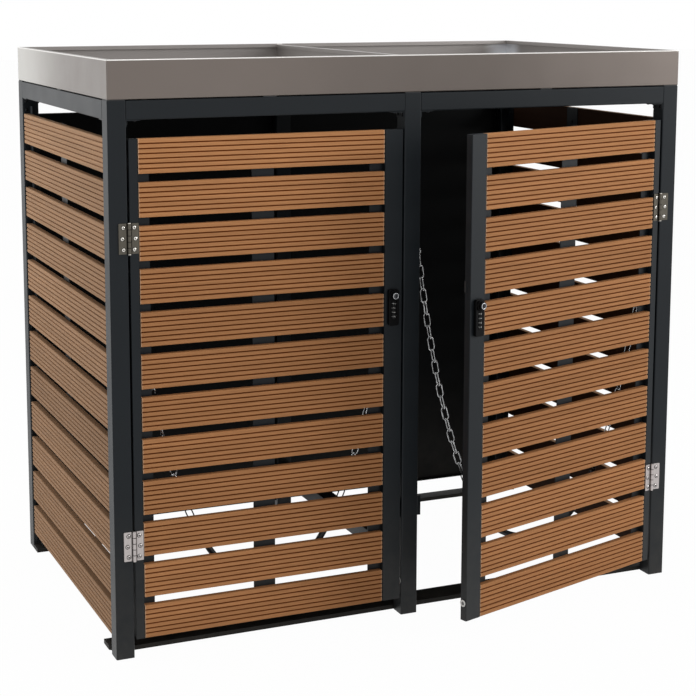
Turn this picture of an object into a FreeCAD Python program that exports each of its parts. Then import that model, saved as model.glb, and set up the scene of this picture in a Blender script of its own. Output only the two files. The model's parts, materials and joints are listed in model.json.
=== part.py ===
import FreeCAD, Part

import math
import os

V = FreeCAD.Vector
os.makedirs("parts", exist_ok=True)

# A store for two wheelie bins: a square-tube frame with slatted sides, two slatted
# doors with combination locks, a chain loop in each bay and a planter as its roof.
# Sizes in millimetres. X runs across the front, Y from front to back, Z up.
# The origin is the middle of the front centre post's foot, on the ground.

# Frame of square tube
WIDTH = 1380.0              # over the corner posts
DEPTH = 810.0               # over the front and rear posts
POST = 40.0                 # side of the square tube
TUBE_WALL = 2.0
TUBE_CORNER = 2.5           # outer radius of the tube
SHEET = 2.0                 # folded sheet steel of stiles, straps, cleats and pans
HEAD_GAP = 38.7             # from the top slat to the top rail
LOW_RAIL_Z = 104.0          # underside of the low rail between the bays

# Slats of ribbed composite board
SLAT_COUNT = 12
SLAT_HEIGHT = 72.5
SLAT_GAP = 18.3
SLAT_THICK = 14.5
GROUND_GAP = 40.0           # from the ground to the lowest slat
GROOVES = 6
GROOVE_WIDTH = 3.2
GROOVE_DEPTH = 2.4
GROOVE_TAPER = 0.5          # how much each groove wall leans in
SLAT_CHAMFER = 1.2
SLAT_END_GAP = 1.9          # between a slat's end and the steel beside it

# Doors
DOOR_GAP = 4.0              # between a door's edge and the post
HINGE_FACE = 18.5           # width of the hinge stile's face
LOCK_FACE = 42.5            # width of the lock stile's face
HINGE_FLANGE = 28.0         # flange behind the slats at the hinge stile
LOCK_FLANGE = 31.0
EDGE_EXTRA = 0.5            # how far a stile's edge stands behind its flange
STILE_RADIUS = 1.2
STRAP_WIDTH = 50.0          # flat strap behind the middle of the slats
AJAR_ANGLE = 17.0           # how far the right door stands open at rest

# Hinges
HINGE_PIN_OUT = 4.0         # pin axis in front of the frame's face
HINGE_PIN_SIDE = 2.0        # pin axis inside the post's edge
KNUCKLE_RADIUS = 4.0
PIN_RADIUS = 2.25
PIN_FIT = 0.05
PIN_HEAD_RADIUS = 3.6
PIN_HEAD = 1.2
HINGE_LENGTH = 64.0
HINGE_HEIGHTS = (248.0, 906.0)
KNUCKLES = 5
KNUCKLE_GAP = 0.3
LEAF_THICK = 2.0
FRAME_LEAF = 18.5           # width of the leaf on the post
DOOR_LEAF = 16.5            # width of the leaf on the door
LEAF_CORNER = 1.5
HINGE_SCREW_PITCH = 23.0
HINGE_SCREW_STAGGER = 2.4

# Screws for slats, hinges and pans; stouter bolts for the cleats
SCREW_SHANK = 2.0
SCREW_HEAD = 3.75
SCREW_DOME = 1.8
SCREW_LENGTH = 8.0
BOLT_SHANK = 2.5
BOLT_HEAD = 4.2
BOLT_DOME = 2.4
BOLT_LENGTH = 7.0
SOCKET_SHARE = 0.38         # half width of the hexagon socket over the head radius
SOCKET_DEPTH = 1.0
DOME_FOOT = 0.35            # straight foot of a head, of its dome
DOME_BEND = (0.62, 0.84)    # a point of the dome's arc, of the head and the dome
HOLE_FIT = 0.05             # extra radius of a hole round a shank
HOLE_END = 0.4              # how much deeper a blind hole is than its shank

# Cleats under the rails
CLEAT_WIDTH = 36.0
CLEAT_DROP = 14.0           # leg on the post
CLEAT_REACH = 30.0          # leg under the rail
CLEAT_BOLT_PITCH = 23.0
CLEAT_BOLT_DROP = 7.5
CLEAT_BOLT_REACH = 20.0

# Side walls
SIDE_RECESS = 2.5           # slat face behind the post's outer face
SIDE_STRAP_SHIFT = 28.0     # middle strap behind the middle of the side wall
ANGLE_LEG = 30.0            # end angle's leg behind the slats
ANGLE_EDGE_INSET = 0.5      # end angle's edge behind the slats' face
ANGLE_BOTTOM = 12.0
ANGLE_TOP_GAP = 6.0         # from the angle's top to the cleat above it
ANGLE_LOW_SCREW = 25.0

# Rear pans
PAN_RECESS = 5.0            # sheet in front of the rear face of the frame
PAN_FLANGE = 22.0
PAN_LIP = 15.0              # fold along the top and bottom edges
PAN_TOP_DROP = 3.3          # pan's top edge below the slats' top
PAN_SCREW_COUNT = 4
PAN_SCREW_INSET = 40.0

# Floor sills
SILL_HEIGHT = 10.0
SILL_WALL = 3.0
FRONT_SILL_DEPTH = 62.0
REAR_SILL_DEPTH = 40.0
SILL_CHAMFER = 22.0

# Planter
SHADOW_GAP = 2.0            # between the frame and the planter
PLANTER_HEIGHT = 81.0
PLANTER_RADIUS = 2.0
RIM_WIDTH = 14.0
RIM_TURN = 9.0              # how far the rim turns down inside
BOTTOM_FLANGE = 32.0
TRAY_WALL = 1.5
TRAY_CLEARANCE = 0.5
TRAY_TOP_GAP = 5.0          # from the rim's top to the tray's top edge
TRAY_HALF_GAP = 3.0         # from the middle to a tray's inner wall
DIVIDER_HALF = 7.0
DIVIDER_TURN = 9.0
DRAIN_RADIUS = 6.0
DRAIN_ROWS = 2
DRAIN_COLUMNS = 3

# Plastic plugs and pads
PLUG_FLANGE = 2.0
PLUG_DEPTH = 20.0
PLUG_CLEARANCE = 0.1
TOP_PLUG_INSET = 1.5        # top plug's flange inside the post's face
PAD_LENGTH = 30.0
TRAY_PAD_PITCH = 202.5      # between the pads under the trays

# Door stops, buffers
STOP_Z = 225.0
STOP_HEIGHT = 45.0
STOP_REACH = 16.0
STOP_DEPTH = 20.0
STOP_CLEARANCE = 1.0        # behind the closed door
BUFFER_Z = 80.0
BUFFER_RADIUS = 8.0
BUFFER_OUT = 2.0
BUFFER_STEM = 3.0
BUFFER_RING = 5.2
BLOCK_Z = 773.0
BLOCK_HEIGHT = 24.0
BLOCK_DEPTH = 5.0

# Combination locks
LOCK_Z = 745.0              # height of the knob
LOCK_INSET = 22.5           # from the door's edge to the lock's middle
CASE_WIDTH = 25.0
CASE_ABOVE = 13.0           # case above the knob's middle
CASE_HEIGHT = 81.0
CASE_DEPTH = 8.0
CASE_CORNER = 5.0
CASE_EDGE = 1.0
BARREL_RADIUS = 9.0
BARREL_LENGTH = 12.0
BARREL_FIT = 0.1
NUT_ACROSS = 23.0
NUT_THICK = 5.0
DIAL_COUNT = 4
DIAL_FIRST_DROP = 18.0      # from the knob's middle to the first dial's middle
DIAL_PITCH = 9.7
DIAL_HEIGHT = 9.2
DIAL_RADIUS = 5.0           # to the middle of a flat face
DIAL_FACES = 10
DIAL_BACK_GAP = 0.4         # from a dial's corners to the stile
DIAL_SHAFT_RADIUS = 1.2
DIAL_FIT = 0.1
WINDOW_SIDE_GAP = 0.4
KNOB_RADIUS = 11.5
KNOB_BASE = 4.0
KNOB_GRIP_RADIUS = 9.3
KNOB_GRIP = 5.0
KNOB_FLUTES = 10
KNOB_FLUTE_RADIUS = 1.6
KNOB_GAP = 0.3
KEY_RADIUS = 5.8
KEY_DEPTH = 8.0
KEY_PROUD = 0.6
KEYWAY_WIDTH = 2.4
KEYWAY_HEIGHT = 7.0
KEYWAY_DEPTH = 3.0
SPINDLE_RADIUS = 4.9
SPINDLE_FIT = 0.1
CAM_CLEARANCE = 1.0         # behind the stile's edge
CAM_THICK = 2.0
CAM_WIDTH = 14.0
CAM_REACH = 32.0
CAM_SQUARE = 6.0
CAM_SQUARE_FIT = 0.05
CAM_NUT_ACROSS = 10.0
CAM_NUT_THICK = 3.0
THREAD_RADIUS = 2.7
CAM_SLOT_GAP = 1.5          # each side of the cam in the post's slot
CAM_SLOT_END = 1.5

# Chain loops
CHAIN_BACK = 32.5           # chain's plane behind the frame's front
CHAIN_LOW_Z = 131.0         # middle of the wire at the lowest place
BOW_RADIUS = 155.0          # of the bow the stiff cord makes at the bottom
BOW_TURN = math.radians(56.0)  # of the bow each way from its middle
CHAIN_HIGH_Z = 827.0        # where the loop hangs from its eyes
EYE_REACH = 11.0            # eye's middle out of the post's face
EYE_RADIUS = 5.8
EYE_WIRE = 1.8
EYE_COLLAR_RADIUS = 5.0
EYE_COLLAR = 3.0
LINK_COUNT = 57             # odd, so that both end links stand edge-on
LINK_WIDTH = 16.4
LINK_WIRE = 1.4             # radius of the links' wire
LINK_SLACK = 0.5
EYE_SLACK = 0.3
CORD_LINKS = 17             # links left out, because a rubber cord takes their place
CORD_RADIUS = 7.0
CORD_ARCS = 8
CORD_EYE_RADIUS = 4.4
CORD_EYE_WIRE = 1.4
CORD_EYE_NECK = 1.0         # from the eye to the cord's end
CORD_STEM_RADIUS = 2.2
CORD_STEM = 18.0            # stem of the eye inside the cord

# Places worked out from the sizes
HALF_WIDTH = WIDTH / 2
FRONT = -POST / 2
BACK = FRONT + DEPTH
SLAT_PITCH = SLAT_HEIGHT + SLAT_GAP
SLATS_TOP = GROUND_GAP + SLAT_COUNT * SLAT_HEIGHT + (SLAT_COUNT - 1) * SLAT_GAP
RAIL_Z = SLATS_TOP + HEAD_GAP
FRAME_TOP = RAIL_Z + POST
BAY_OUT = HALF_WIDTH - POST                 # a bay's outer side, from the middle
BAY_IN = POST / 2                           # a bay's inner side
BAY_MIDDLE = (BAY_OUT + BAY_IN) / 2
REAR_POST_Y = BACK - POST / 2
FRONT_POST_BACK = FRONT + POST
REAR_POST_FRONT = BACK - POST
DOOR_OUT = -BAY_OUT + DOOR_GAP              # left door's hinge edge
DOOR_IN = -BAY_IN - DOOR_GAP                # left door's lock edge
STRAP_FRONT = FRONT + SLAT_THICK
STRAP_BACK = STRAP_FRONT + SHEET
EDGE_BACK = STRAP_BACK + EDGE_EXTRA
SLATS_OUT = DOOR_OUT + HINGE_FACE
SLATS_IN = DOOR_IN - LOCK_FACE
HINGE_X = -BAY_OUT + HINGE_PIN_SIDE
HINGE_Y = FRONT - HINGE_PIN_OUT
LOCK_X = DOOR_IN - LOCK_INSET
CASE_FRONT = FRONT - CASE_DEPTH
CASE_TOP = LOCK_Z + CASE_ABOVE
CAM_FRONT = EDGE_BACK + CAM_CLEARANCE
CAM_BACK = CAM_FRONT + CAM_THICK
DIAL_CORNER = DIAL_RADIUS / math.cos(math.pi / DIAL_FACES)
DIAL_Y = FRONT - DIAL_BACK_GAP - DIAL_CORNER
CHAIN_Y = FRONT + CHAIN_BACK
HALF_SPAN = BAY_OUT - BAY_MIDDLE - EYE_REACH


# Basic shapes

def block(x0, x1, y0, y1, z0, z1):
    return Part.makeBox(x1 - x0, y1 - y0, z1 - z0, V(x0, y0, z0))


def rod(radius, start, end):
    return Part.makeCylinder(radius, (end - start).Length, start, end - start)


def prism(points, axis, start, end):
    """A polygon in the plane square to the axis, drawn out from start to end."""
    place = {
        "x": lambda a, b: V(start, a, b),
        "y": lambda a, b: V(a, start, b),
        "z": lambda a, b: V(a, b, start),
    }[axis]
    direction = {"x": V(1, 0, 0), "y": V(0, 1, 0), "z": V(0, 0, 1)}[axis]
    corners = [place(a, b) for a, b in points]
    outline = Part.makePolygon(corners + corners[:1])
    return Part.Face(outline).extrude(direction * (end - start))


def edges_along(shape, axis):
    """The straight edges of a shape that run along one axis."""
    chosen = []
    for edge in shape.Edges:
        run = edge.Vertexes[-1].Point - edge.Vertexes[0].Point
        if run.Length > 0 and abs(run.dot(axis)) > 0.999 * run.Length:
            chosen.append(edge)
    return chosen


def square_tube(x0, x1, y0, y1, z0, z1, axis):
    """A hollow bar with rounded corners that runs along the axis."""
    outer = block(x0, x1, y0, y1, z0, z1)
    outer = outer.makeFillet(TUBE_CORNER, edges_along(outer, axis))
    side = V(1, 1, 1) - axis
    low = V(x0, y0, z0) + side * TUBE_WALL - axis
    high = V(x1, y1, z1) - side * TUBE_WALL + axis
    return outer.cut(block(low.x, high.x, low.y, high.y, low.z, high.z))


def hexagon(across, axis, middle, start, end):
    corner = across / math.sqrt(3)
    turns = [math.radians(60 * k) for k in range(6)]
    a, b = middle
    points = [(a + corner * math.cos(t), b + corner * math.sin(t)) for t in turns]
    return prism(points, axis, start, end)


def join(shapes):
    body = shapes[0]
    for other in shapes[1:]:
        body = body.fuse(other)
    return body.removeSplitter()


def mirrored(shape):
    """The same shape on the other side of the middle plane."""
    return shape.mirror(V(0, 0, 0), V(1, 0, 0))


# Fasteners: a place is the point under the head and the way the head looks out

def domed_fastener(shank, head, dome, length):
    """A dome-headed fastener along Z, with the underside of its head at Z = 0."""
    rise = DOME_FOOT * dome
    arc_middle = V(head * DOME_BEND[0], 0, dome * DOME_BEND[1])
    profile = [
        Part.LineSegment(V(0, 0, -length), V(shank, 0, -length)).toShape(),
        Part.LineSegment(V(shank, 0, -length), V(shank, 0, 0)).toShape(),
        Part.LineSegment(V(shank, 0, 0), V(head, 0, 0)).toShape(),
        Part.LineSegment(V(head, 0, 0), V(head, 0, rise)).toShape(),
        Part.Arc(V(head, 0, rise), arc_middle, V(0, 0, dome)).toShape(),
        Part.LineSegment(V(0, 0, dome), V(0, 0, -length)).toShape(),
    ]
    solid = Part.Face(Part.Wire(profile)).revolve(V(0, 0, 0), V(0, 0, 1), 360)
    across = 2 * head * SOCKET_SHARE
    return solid.cut(hexagon(across, "z", (0, 0), dome - SOCKET_DEPTH, dome + 1))


SCREW = domed_fastener(SCREW_SHANK, SCREW_HEAD, SCREW_DOME, SCREW_LENGTH)
BOLT = domed_fastener(BOLT_SHANK, BOLT_HEAD, BOLT_DOME, BOLT_LENGTH)


def fasten(kind, places):
    """Copies of a fastener at a list of places."""
    copies = []
    for point, outward in places:
        copy = kind.copy()
        copy.Placement = FreeCAD.Placement(point, FreeCAD.Rotation(V(0, 0, 1), outward))
        copies.append(copy)
    return copies


def drill(shape, places, shank=SCREW_SHANK, length=SCREW_LENGTH):
    """The shape with a hole for each fastener that reaches it."""
    holes = []
    for point, outward in places:
        start = point + outward * HOLE_END
        end = point - outward * (length + HOLE_END)
        hole = rod(shank + HOLE_FIT, start, end)
        if hole.BoundBox.intersect(shape.BoundBox):
            holes.append(hole)
    return shape.cut(Part.makeCompound(holes)) if holes else shape


# Slats

def slat_section():
    """Outline of a board as (depth from its face, height), with its grooves."""
    section = [(SLAT_CHAMFER, 0), (0, SLAT_CHAMFER)]
    rib_pitch = SLAT_HEIGHT / (GROOVES + 1)
    for k in range(1, GROOVES + 1):
        low = k * rib_pitch - GROOVE_WIDTH / 2
        high = low + GROOVE_WIDTH
        section += [(0, low), (GROOVE_DEPTH, low + GROOVE_TAPER)]
        section += [(GROOVE_DEPTH, high - GROOVE_TAPER), (0, high)]
    section += [(0, SLAT_HEIGHT - SLAT_CHAMFER), (SLAT_CHAMFER, SLAT_HEIGHT)]
    section += [(SLAT_THICK - SLAT_CHAMFER, SLAT_HEIGHT)]
    section += [(SLAT_THICK, SLAT_HEIGHT - SLAT_CHAMFER)]
    section += [(SLAT_THICK, SLAT_CHAMFER), (SLAT_THICK - SLAT_CHAMFER, 0)]
    return section


def slat_bottoms():
    return [GROUND_GAP + k * SLAT_PITCH for k in range(SLAT_COUNT)]


def door_slats():
    slats = []
    for bottom in slat_bottoms():
        points = [(FRONT + depth, bottom + height) for depth, height in slat_section()]
        slats.append(prism(points, "x", SLATS_OUT + SLAT_END_GAP, SLATS_IN - SLAT_END_GAP))
    return slats


def side_slats():
    """The left wall's slats, between the two end angles."""
    face = -HALF_WIDTH + SIDE_RECESS
    start = FRONT_POST_BACK + SHEET + SLAT_END_GAP
    end = REAR_POST_FRONT - SHEET - SLAT_END_GAP
    slats = []
    for bottom in slat_bottoms():
        points = [(face + depth, bottom + height) for depth, height in slat_section()]
        slats.append(prism(points, "y", start, end))
    return slats


def slat_middles():
    return [bottom + SLAT_HEIGHT / 2 for bottom in slat_bottoms()]


# Posts, rails and cleats

def post(x, y):
    half = POST / 2
    return square_tube(x - half, x + half, y - half, y + half, PLUG_FLANGE, FRAME_TOP, V(0, 0, 1))


def top_rails():
    """The seven rails of the top ring, in the order left and right, front and rear."""
    half = POST / 2
    corner_x = HALF_WIDTH - half
    rails = []
    for y in (0, REAR_POST_Y):
        for side in (-1, 1):
            x0, x1 = sorted((side * BAY_OUT, side * BAY_IN))
            rails.append(square_tube(x0, x1, y - half, y + half, RAIL_Z, FRAME_TOP, V(1, 0, 0)))
    for x in (-corner_x, corner_x, 0):
        rails.append(square_tube(x - half, x + half, FRONT_POST_BACK, REAR_POST_FRONT,
                                 RAIL_Z, FRAME_TOP, V(0, 1, 0)))
    return rails


def low_rail():
    half = POST / 2
    return square_tube(-half, half, FRONT_POST_BACK, REAR_POST_FRONT,
                       LOW_RAIL_Z, LOW_RAIL_Z + POST, V(0, 1, 0))


def cleat_places():
    """Where a rail's underside meets a post: the point and the way along the rail."""
    corner_x = HALF_WIDTH - POST / 2
    places = []
    for y in (0, REAR_POST_Y):
        for side in (-1, 1):
            places.append((V(side * BAY_OUT, y, RAIL_Z), V(-side, 0, 0)))
            places.append((V(side * BAY_IN, y, RAIL_Z), V(side, 0, 0)))
    for x, z in ((-corner_x, RAIL_Z), (corner_x, RAIL_Z), (0, RAIL_Z), (0, LOW_RAIL_Z)):
        places.append((V(x, FRONT_POST_BACK, z), V(0, 1, 0)))
        places.append((V(x, REAR_POST_FRONT, z), V(0, -1, 0)))
    return places


def cleat_bolts(point, along):
    """Two bolts into the post and two up into the rail."""
    across = V(0, 0, 1).cross(along)
    places = []
    for side in (-1, 1):
        shift = across * (side * CLEAT_BOLT_PITCH / 2)
        places.append((point + shift + along * SHEET - V(0, 0, CLEAT_BOLT_DROP), along))
        places.append((point + shift + along * CLEAT_BOLT_REACH - V(0, 0, SHEET), V(0, 0, -1)))
    return places


def cleat(point, along):
    half = CLEAT_WIDTH / 2
    upright = block(0, SHEET, -half, half, -CLEAT_DROP, 0)
    level = block(0, CLEAT_REACH, -half, half, -SHEET, 0)
    shape = join([upright, level])
    shape.Placement = FreeCAD.Placement(point, FreeCAD.Rotation(V(1, 0, 0), along))
    return drill(shape, cleat_bolts(point, along), BOLT_SHANK, BOLT_LENGTH)


def frame_bolt_places():
    return [place for spot in cleat_places() for place in cleat_bolts(*spot)]


# Plastic plugs in the posts and pads under the planter

def plug(x, y):
    """The foot of a post: a flange on the ground and a core in the tube."""
    half = POST / 2
    core = half - TUBE_WALL - PLUG_CLEARANCE
    flange = block(x - half, x + half, y - half, y + half, 0, PLUG_FLANGE)
    flange = flange.makeFillet(TUBE_CORNER, edges_along(flange, V(0, 0, 1)))
    return join([flange, block(x - core, x + core, y - core, y + core, 0, PLUG_DEPTH)])


def top_plug(x, y):
    half = POST / 2 - TOP_PLUG_INSET
    core = POST / 2 - TUBE_WALL - PLUG_CLEARANCE
    flange = block(x - half, x + half, y - half, y + half, FRAME_TOP, FRAME_TOP + SHADOW_GAP)
    stem = block(x - core, x + core, y - core, y + core, FRAME_TOP - PLUG_DEPTH, FRAME_TOP)
    return join([flange, stem])


def pads():
    """Pads on the middle of each outer rail, and under the trays on the centre rail."""
    half = PAD_LENGTH / 2
    wide = POST / 2 - TOP_PLUG_INSET
    corner_x = HALF_WIDTH - POST / 2
    middle_y = (FRONT_POST_BACK + REAR_POST_FRONT) / 2
    shapes = []
    for y in (0, REAR_POST_Y):
        for x in (-BAY_MIDDLE, BAY_MIDDLE):
            shapes.append(block(x - half, x + half, y - wide, y + wide,
                                FRAME_TOP, FRAME_TOP + SHADOW_GAP))
    for x in (-corner_x, corner_x):
        shapes.append(block(x - wide, x + wide, middle_y - half, middle_y + half,
                            FRAME_TOP, FRAME_TOP + SHADOW_GAP))
    tray_z = FRAME_TOP + SHADOW_GAP + SHEET
    for share in (-1, 0, 1):
        y = middle_y + share * TRAY_PAD_PITCH
        shapes.append(block(-wide, wide, y - half, y + half, FRAME_TOP, tray_z))
    return shapes


# Folded side angles, straps and rear pans

def end_angle(face_y, inward):
    """Angle at one end of the left wall; inward is +1 at the front, -1 at the rear."""
    x0 = -HALF_WIDTH + SIDE_RECESS + ANGLE_EDGE_INSET
    x1 = -HALF_WIDTH + SIDE_RECESS + SLAT_THICK
    near, far = face_y, face_y + inward * SHEET
    reach = face_y + inward * ANGLE_LEG
    points = [(x0, near), (x1 + SHEET, near), (x1 + SHEET, reach), (x1, reach), (x1, far), (x0, far)]
    return prism(points, "z", ANGLE_BOTTOM, RAIL_Z - CLEAT_DROP - ANGLE_TOP_GAP)


def side_strap_y():
    return (FRONT_POST_BACK + REAR_POST_FRONT) / 2 + SIDE_STRAP_SHIFT


def side_straps():
    x1 = -HALF_WIDTH + SIDE_RECESS + SLAT_THICK
    y = side_strap_y()
    strap = block(x1, x1 + SHEET, y - STRAP_WIDTH / 2, y + STRAP_WIDTH / 2, GROUND_GAP, SLATS_TOP)
    return [end_angle(FRONT_POST_BACK, 1), strap, end_angle(REAR_POST_FRONT, -1)]


def side_screws():
    """Screws from inside into the left wall's slats, and from the angles into the posts."""
    x = -HALF_WIDTH + SIDE_RECESS + SLAT_THICK + SHEET
    leg = SHEET + (ANGLE_LEG - SHEET) / 2
    places = []
    for z in slat_middles():
        for y in (FRONT_POST_BACK + leg, side_strap_y(), REAR_POST_FRONT - leg):
            places.append((V(x, y, z), V(1, 0, 0)))
    leg_x = -HALF_WIDTH + SIDE_RECESS + SLAT_THICK / 2
    gaps = [GROUND_GAP + k * SLAT_PITCH - SLAT_GAP / 2 for k in (1, SLAT_COUNT // 2, SLAT_COUNT)]
    for z in [ANGLE_LOW_SCREW] + gaps:
        places.append((V(leg_x, FRONT_POST_BACK + SHEET, z), V(0, 1, 0)))
        places.append((V(leg_x, REAR_POST_FRONT - SHEET, z), V(0, -1, 0)))
    return places


def pan_screws():
    y = BACK - PAN_RECESS - PAN_FLANGE / 2
    low = GROUND_GAP + PAN_SCREW_INSET
    step = (SLATS_TOP - PAN_TOP_DROP - PAN_SCREW_INSET - low) / (PAN_SCREW_COUNT - 1)
    places = []
    for k in range(PAN_SCREW_COUNT):
        places.append((V(-BAY_OUT + SHEET, y, low + k * step), V(1, 0, 0)))
        places.append((V(-BAY_IN - SHEET, y, low + k * step), V(-1, 0, 0)))
    return places


def rear_pan():
    """The left bay's rear wall: a sheet with all four edges folded forwards."""
    back = BACK - PAN_RECESS
    top = SLATS_TOP - PAN_TOP_DROP
    sheet = block(-BAY_OUT, -BAY_IN, back - SHEET, back, GROUND_GAP, top)
    folds = [
        block(-BAY_OUT, -BAY_OUT + SHEET, back - PAN_FLANGE, back, GROUND_GAP, top),
        block(-BAY_IN - SHEET, -BAY_IN, back - PAN_FLANGE, back, GROUND_GAP, top),
        block(-BAY_OUT, -BAY_IN, back - PAN_LIP, back, GROUND_GAP, GROUND_GAP + SHEET),
        block(-BAY_OUT, -BAY_IN, back - PAN_LIP, back, top - SHEET, top),
    ]
    return drill(join([sheet] + folds), pan_screws())


def sill(y0, y1, front_chamfer):
    """A low steel threshold, hollow underneath, with its front corners cut back."""
    cut = front_chamfer
    points = [(-HALF_WIDTH, y0 + cut), (-HALF_WIDTH, y1), (HALF_WIDTH, y1), (HALF_WIDTH, y0 + cut)]
    if cut:
        points += [(HALF_WIDTH - cut, y0), (-HALF_WIDTH + cut, y0)]
    body = prism(points, "z", 0, SILL_HEIGHT)
    inset = SILL_WALL + cut
    hollow = block(-HALF_WIDTH + inset, HALF_WIDTH - inset, y0 + SILL_WALL, y1 - SILL_WALL,
                   -1, SILL_HEIGHT - SILL_WALL)
    return body.cut(hollow)


# Planter

def ring(inset0, inset1, z0, z1):
    """A rectangular ring inside the planter's outline, between two insets."""
    outer = block(-HALF_WIDTH + inset0, HALF_WIDTH - inset0, FRONT + inset0, BACK - inset0, z0, z1)
    inner = block(-HALF_WIDTH + inset1, HALF_WIDTH - inset1, FRONT + inset1, BACK - inset1,
                  z0 - 1, z1 + 1)
    return outer.cut(inner)


def planter_fascia():
    bottom = FRAME_TOP + SHADOW_GAP
    top = bottom + PLANTER_HEIGHT
    outline = block(-HALF_WIDTH, HALF_WIDTH, FRONT, BACK, bottom, top)
    outline = outline.makeFillet(PLANTER_RADIUS, outline.Edges)
    inside = block(-HALF_WIDTH + SHEET, HALF_WIDTH - SHEET, FRONT + SHEET, BACK - SHEET,
                   bottom + SHEET, top - SHEET)
    under_hole = block(-HALF_WIDTH + BOTTOM_FLANGE, HALF_WIDTH - BOTTOM_FLANGE,
                       FRONT + BOTTOM_FLANGE, BACK - BOTTOM_FLANGE, bottom - 1, bottom + SHEET + 1)
    over_hole = block(-HALF_WIDTH + RIM_WIDTH, HALF_WIDTH - RIM_WIDTH,
                      FRONT + RIM_WIDTH, BACK - RIM_WIDTH, top - SHEET - 1, top + 1)
    shell = outline.cut(inside).cut(under_hole).cut(over_hole)
    turned = ring(RIM_WIDTH - SHEET, RIM_WIDTH, top - RIM_TURN, top - SHEET / 2)
    return join([shell, turned])


def planter_tray():
    """The left tray: an open box with drain holes in its floor."""
    floor = FRAME_TOP + SHADOW_GAP + SHEET
    top = FRAME_TOP + SHADOW_GAP + PLANTER_HEIGHT - TRAY_TOP_GAP
    gap = SHEET + TRAY_CLEARANCE
    x0, x1 = -HALF_WIDTH + gap, -TRAY_HALF_GAP
    y0, y1 = FRONT + gap, BACK - gap
    box = block(x0, x1, y0, y1, floor, top)
    hollow = block(x0 + TRAY_WALL, x1 - TRAY_WALL, y0 + TRAY_WALL, y1 - TRAY_WALL,
                   floor + TRAY_WALL, top + 1)
    tray = box.cut(hollow)
    notch_foot = top + TRAY_TOP_GAP - RIM_TURN - TRAY_CLEARANCE
    reach = RIM_WIDTH + TRAY_CLEARANCE
    for n0, n1 in ((FRONT, FRONT + reach), (BACK - reach, BACK)):
        tray = tray.cut(block(x1 - TRAY_WALL - 1, x1 + 1, n0, n1, notch_foot, top + 1))
    for i in range(DRAIN_COLUMNS):
        for j in range(DRAIN_ROWS):
            x = x0 + (x1 - x0) * (i + 0.5) / DRAIN_COLUMNS
            y = y0 + (y1 - y0) * (j + 0.5) / DRAIN_ROWS
            tray = tray.cut(rod(DRAIN_RADIUS, V(x, y, floor - 1), V(x, y, floor + TRAY_WALL + 1)))
    return tray


def planter_divider():
    """The cap over the two trays' inner walls."""
    top = FRAME_TOP + SHADOW_GAP + PLANTER_HEIGHT - TRAY_TOP_GAP + SHEET
    inner = DIVIDER_HALF - SHEET
    foot = top - DIVIDER_TURN
    points = [(-DIVIDER_HALF, foot), (-DIVIDER_HALF, top), (DIVIDER_HALF, top),
              (DIVIDER_HALF, foot), (inner, foot), (inner, top - SHEET),
              (-inner, top - SHEET), (-inner, foot)]
    return prism(points, "y", FRONT + RIM_WIDTH, BACK - RIM_WIDTH)


# Door stops on the centre post

def stop_screw():
    return [(V(-BAY_IN - SHEET, EDGE_BACK + STOP_CLEARANCE + STOP_DEPTH / 2 + SHEET / 2,
               STOP_Z + STOP_HEIGHT / 2), V(-1, 0, 0))]


def door_stop():
    y0 = EDGE_BACK + STOP_CLEARANCE
    y1 = y0 + STOP_DEPTH
    x = -BAY_IN
    points = [(x, y0), (x - STOP_REACH, y0), (x - STOP_REACH, y0 + SHEET), (x - SHEET, y0 + SHEET),
              (x - SHEET, y1), (x, y1)]
    return drill(prism(points, "z", STOP_Z, STOP_Z + STOP_HEIGHT), stop_screw())


# Hinges, drawn for the left door in its closed place

def knuckle_spans(middle, first):
    """Every second knuckle of a hinge, as low and high ends."""
    pitch = HINGE_LENGTH / KNUCKLES
    low = middle - HINGE_LENGTH / 2
    spans = []
    for k in range(first, KNUCKLES, 2):
        spans.append((low + k * pitch + KNUCKLE_GAP / 2, low + (k + 1) * pitch - KNUCKLE_GAP / 2))
    return spans


def hinge_screw_places(middle, side):
    """Screws of one leaf; side is -1 on the post and +1 on the door."""
    base = HINGE_X + side * (KNUCKLE_RADIUS + (FRAME_LEAF if side < 0 else DOOR_LEAF) / 2)
    places = []
    for k in (-1, 0, 1):
        x = base + (side * HINGE_SCREW_STAGGER / 2) * (1 if k == 0 else -1)
        places.append((V(x, FRONT - LEAF_THICK, middle + k * HINGE_SCREW_PITCH), V(0, -1, 0)))
    return places


def hinge_leaf(middle, side):
    width = FRAME_LEAF if side < 0 else DOOR_LEAF
    inner = HINGE_X + side * (KNUCKLE_RADIUS + KNUCKLE_GAP)
    outer = HINGE_X + side * (KNUCKLE_RADIUS + width)
    x0, x1 = sorted((inner, outer))
    low = middle - HINGE_LENGTH / 2
    plate = block(x0, x1, FRONT - LEAF_THICK, FRONT, low, low + HINGE_LENGTH)
    far_edges = [e for e in edges_along(plate, V(0, 1, 0)) if abs(e.CenterOfMass.x - outer) < 0.01]
    leaf = plate.makeFillet(LEAF_CORNER, far_edges)
    for z0, z1 in knuckle_spans(middle, 0 if side < 0 else 1):
        t0, t1 = sorted((HINGE_X + side * PIN_RADIUS, inner))
        leaf = leaf.fuse(block(t0, t1, FRONT - LEAF_THICK, FRONT, z0, z1))
        leaf = leaf.fuse(rod(KNUCKLE_RADIUS, V(HINGE_X, HINGE_Y, z0), V(HINGE_X, HINGE_Y, z1)))
    bore_low = V(HINGE_X, HINGE_Y, low - 1)
    bore = rod(PIN_RADIUS + PIN_FIT, bore_low, bore_low + V(0, 0, HINGE_LENGTH + 2))
    return drill(leaf.cut(bore).removeSplitter(), hinge_screw_places(middle, side))


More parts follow.
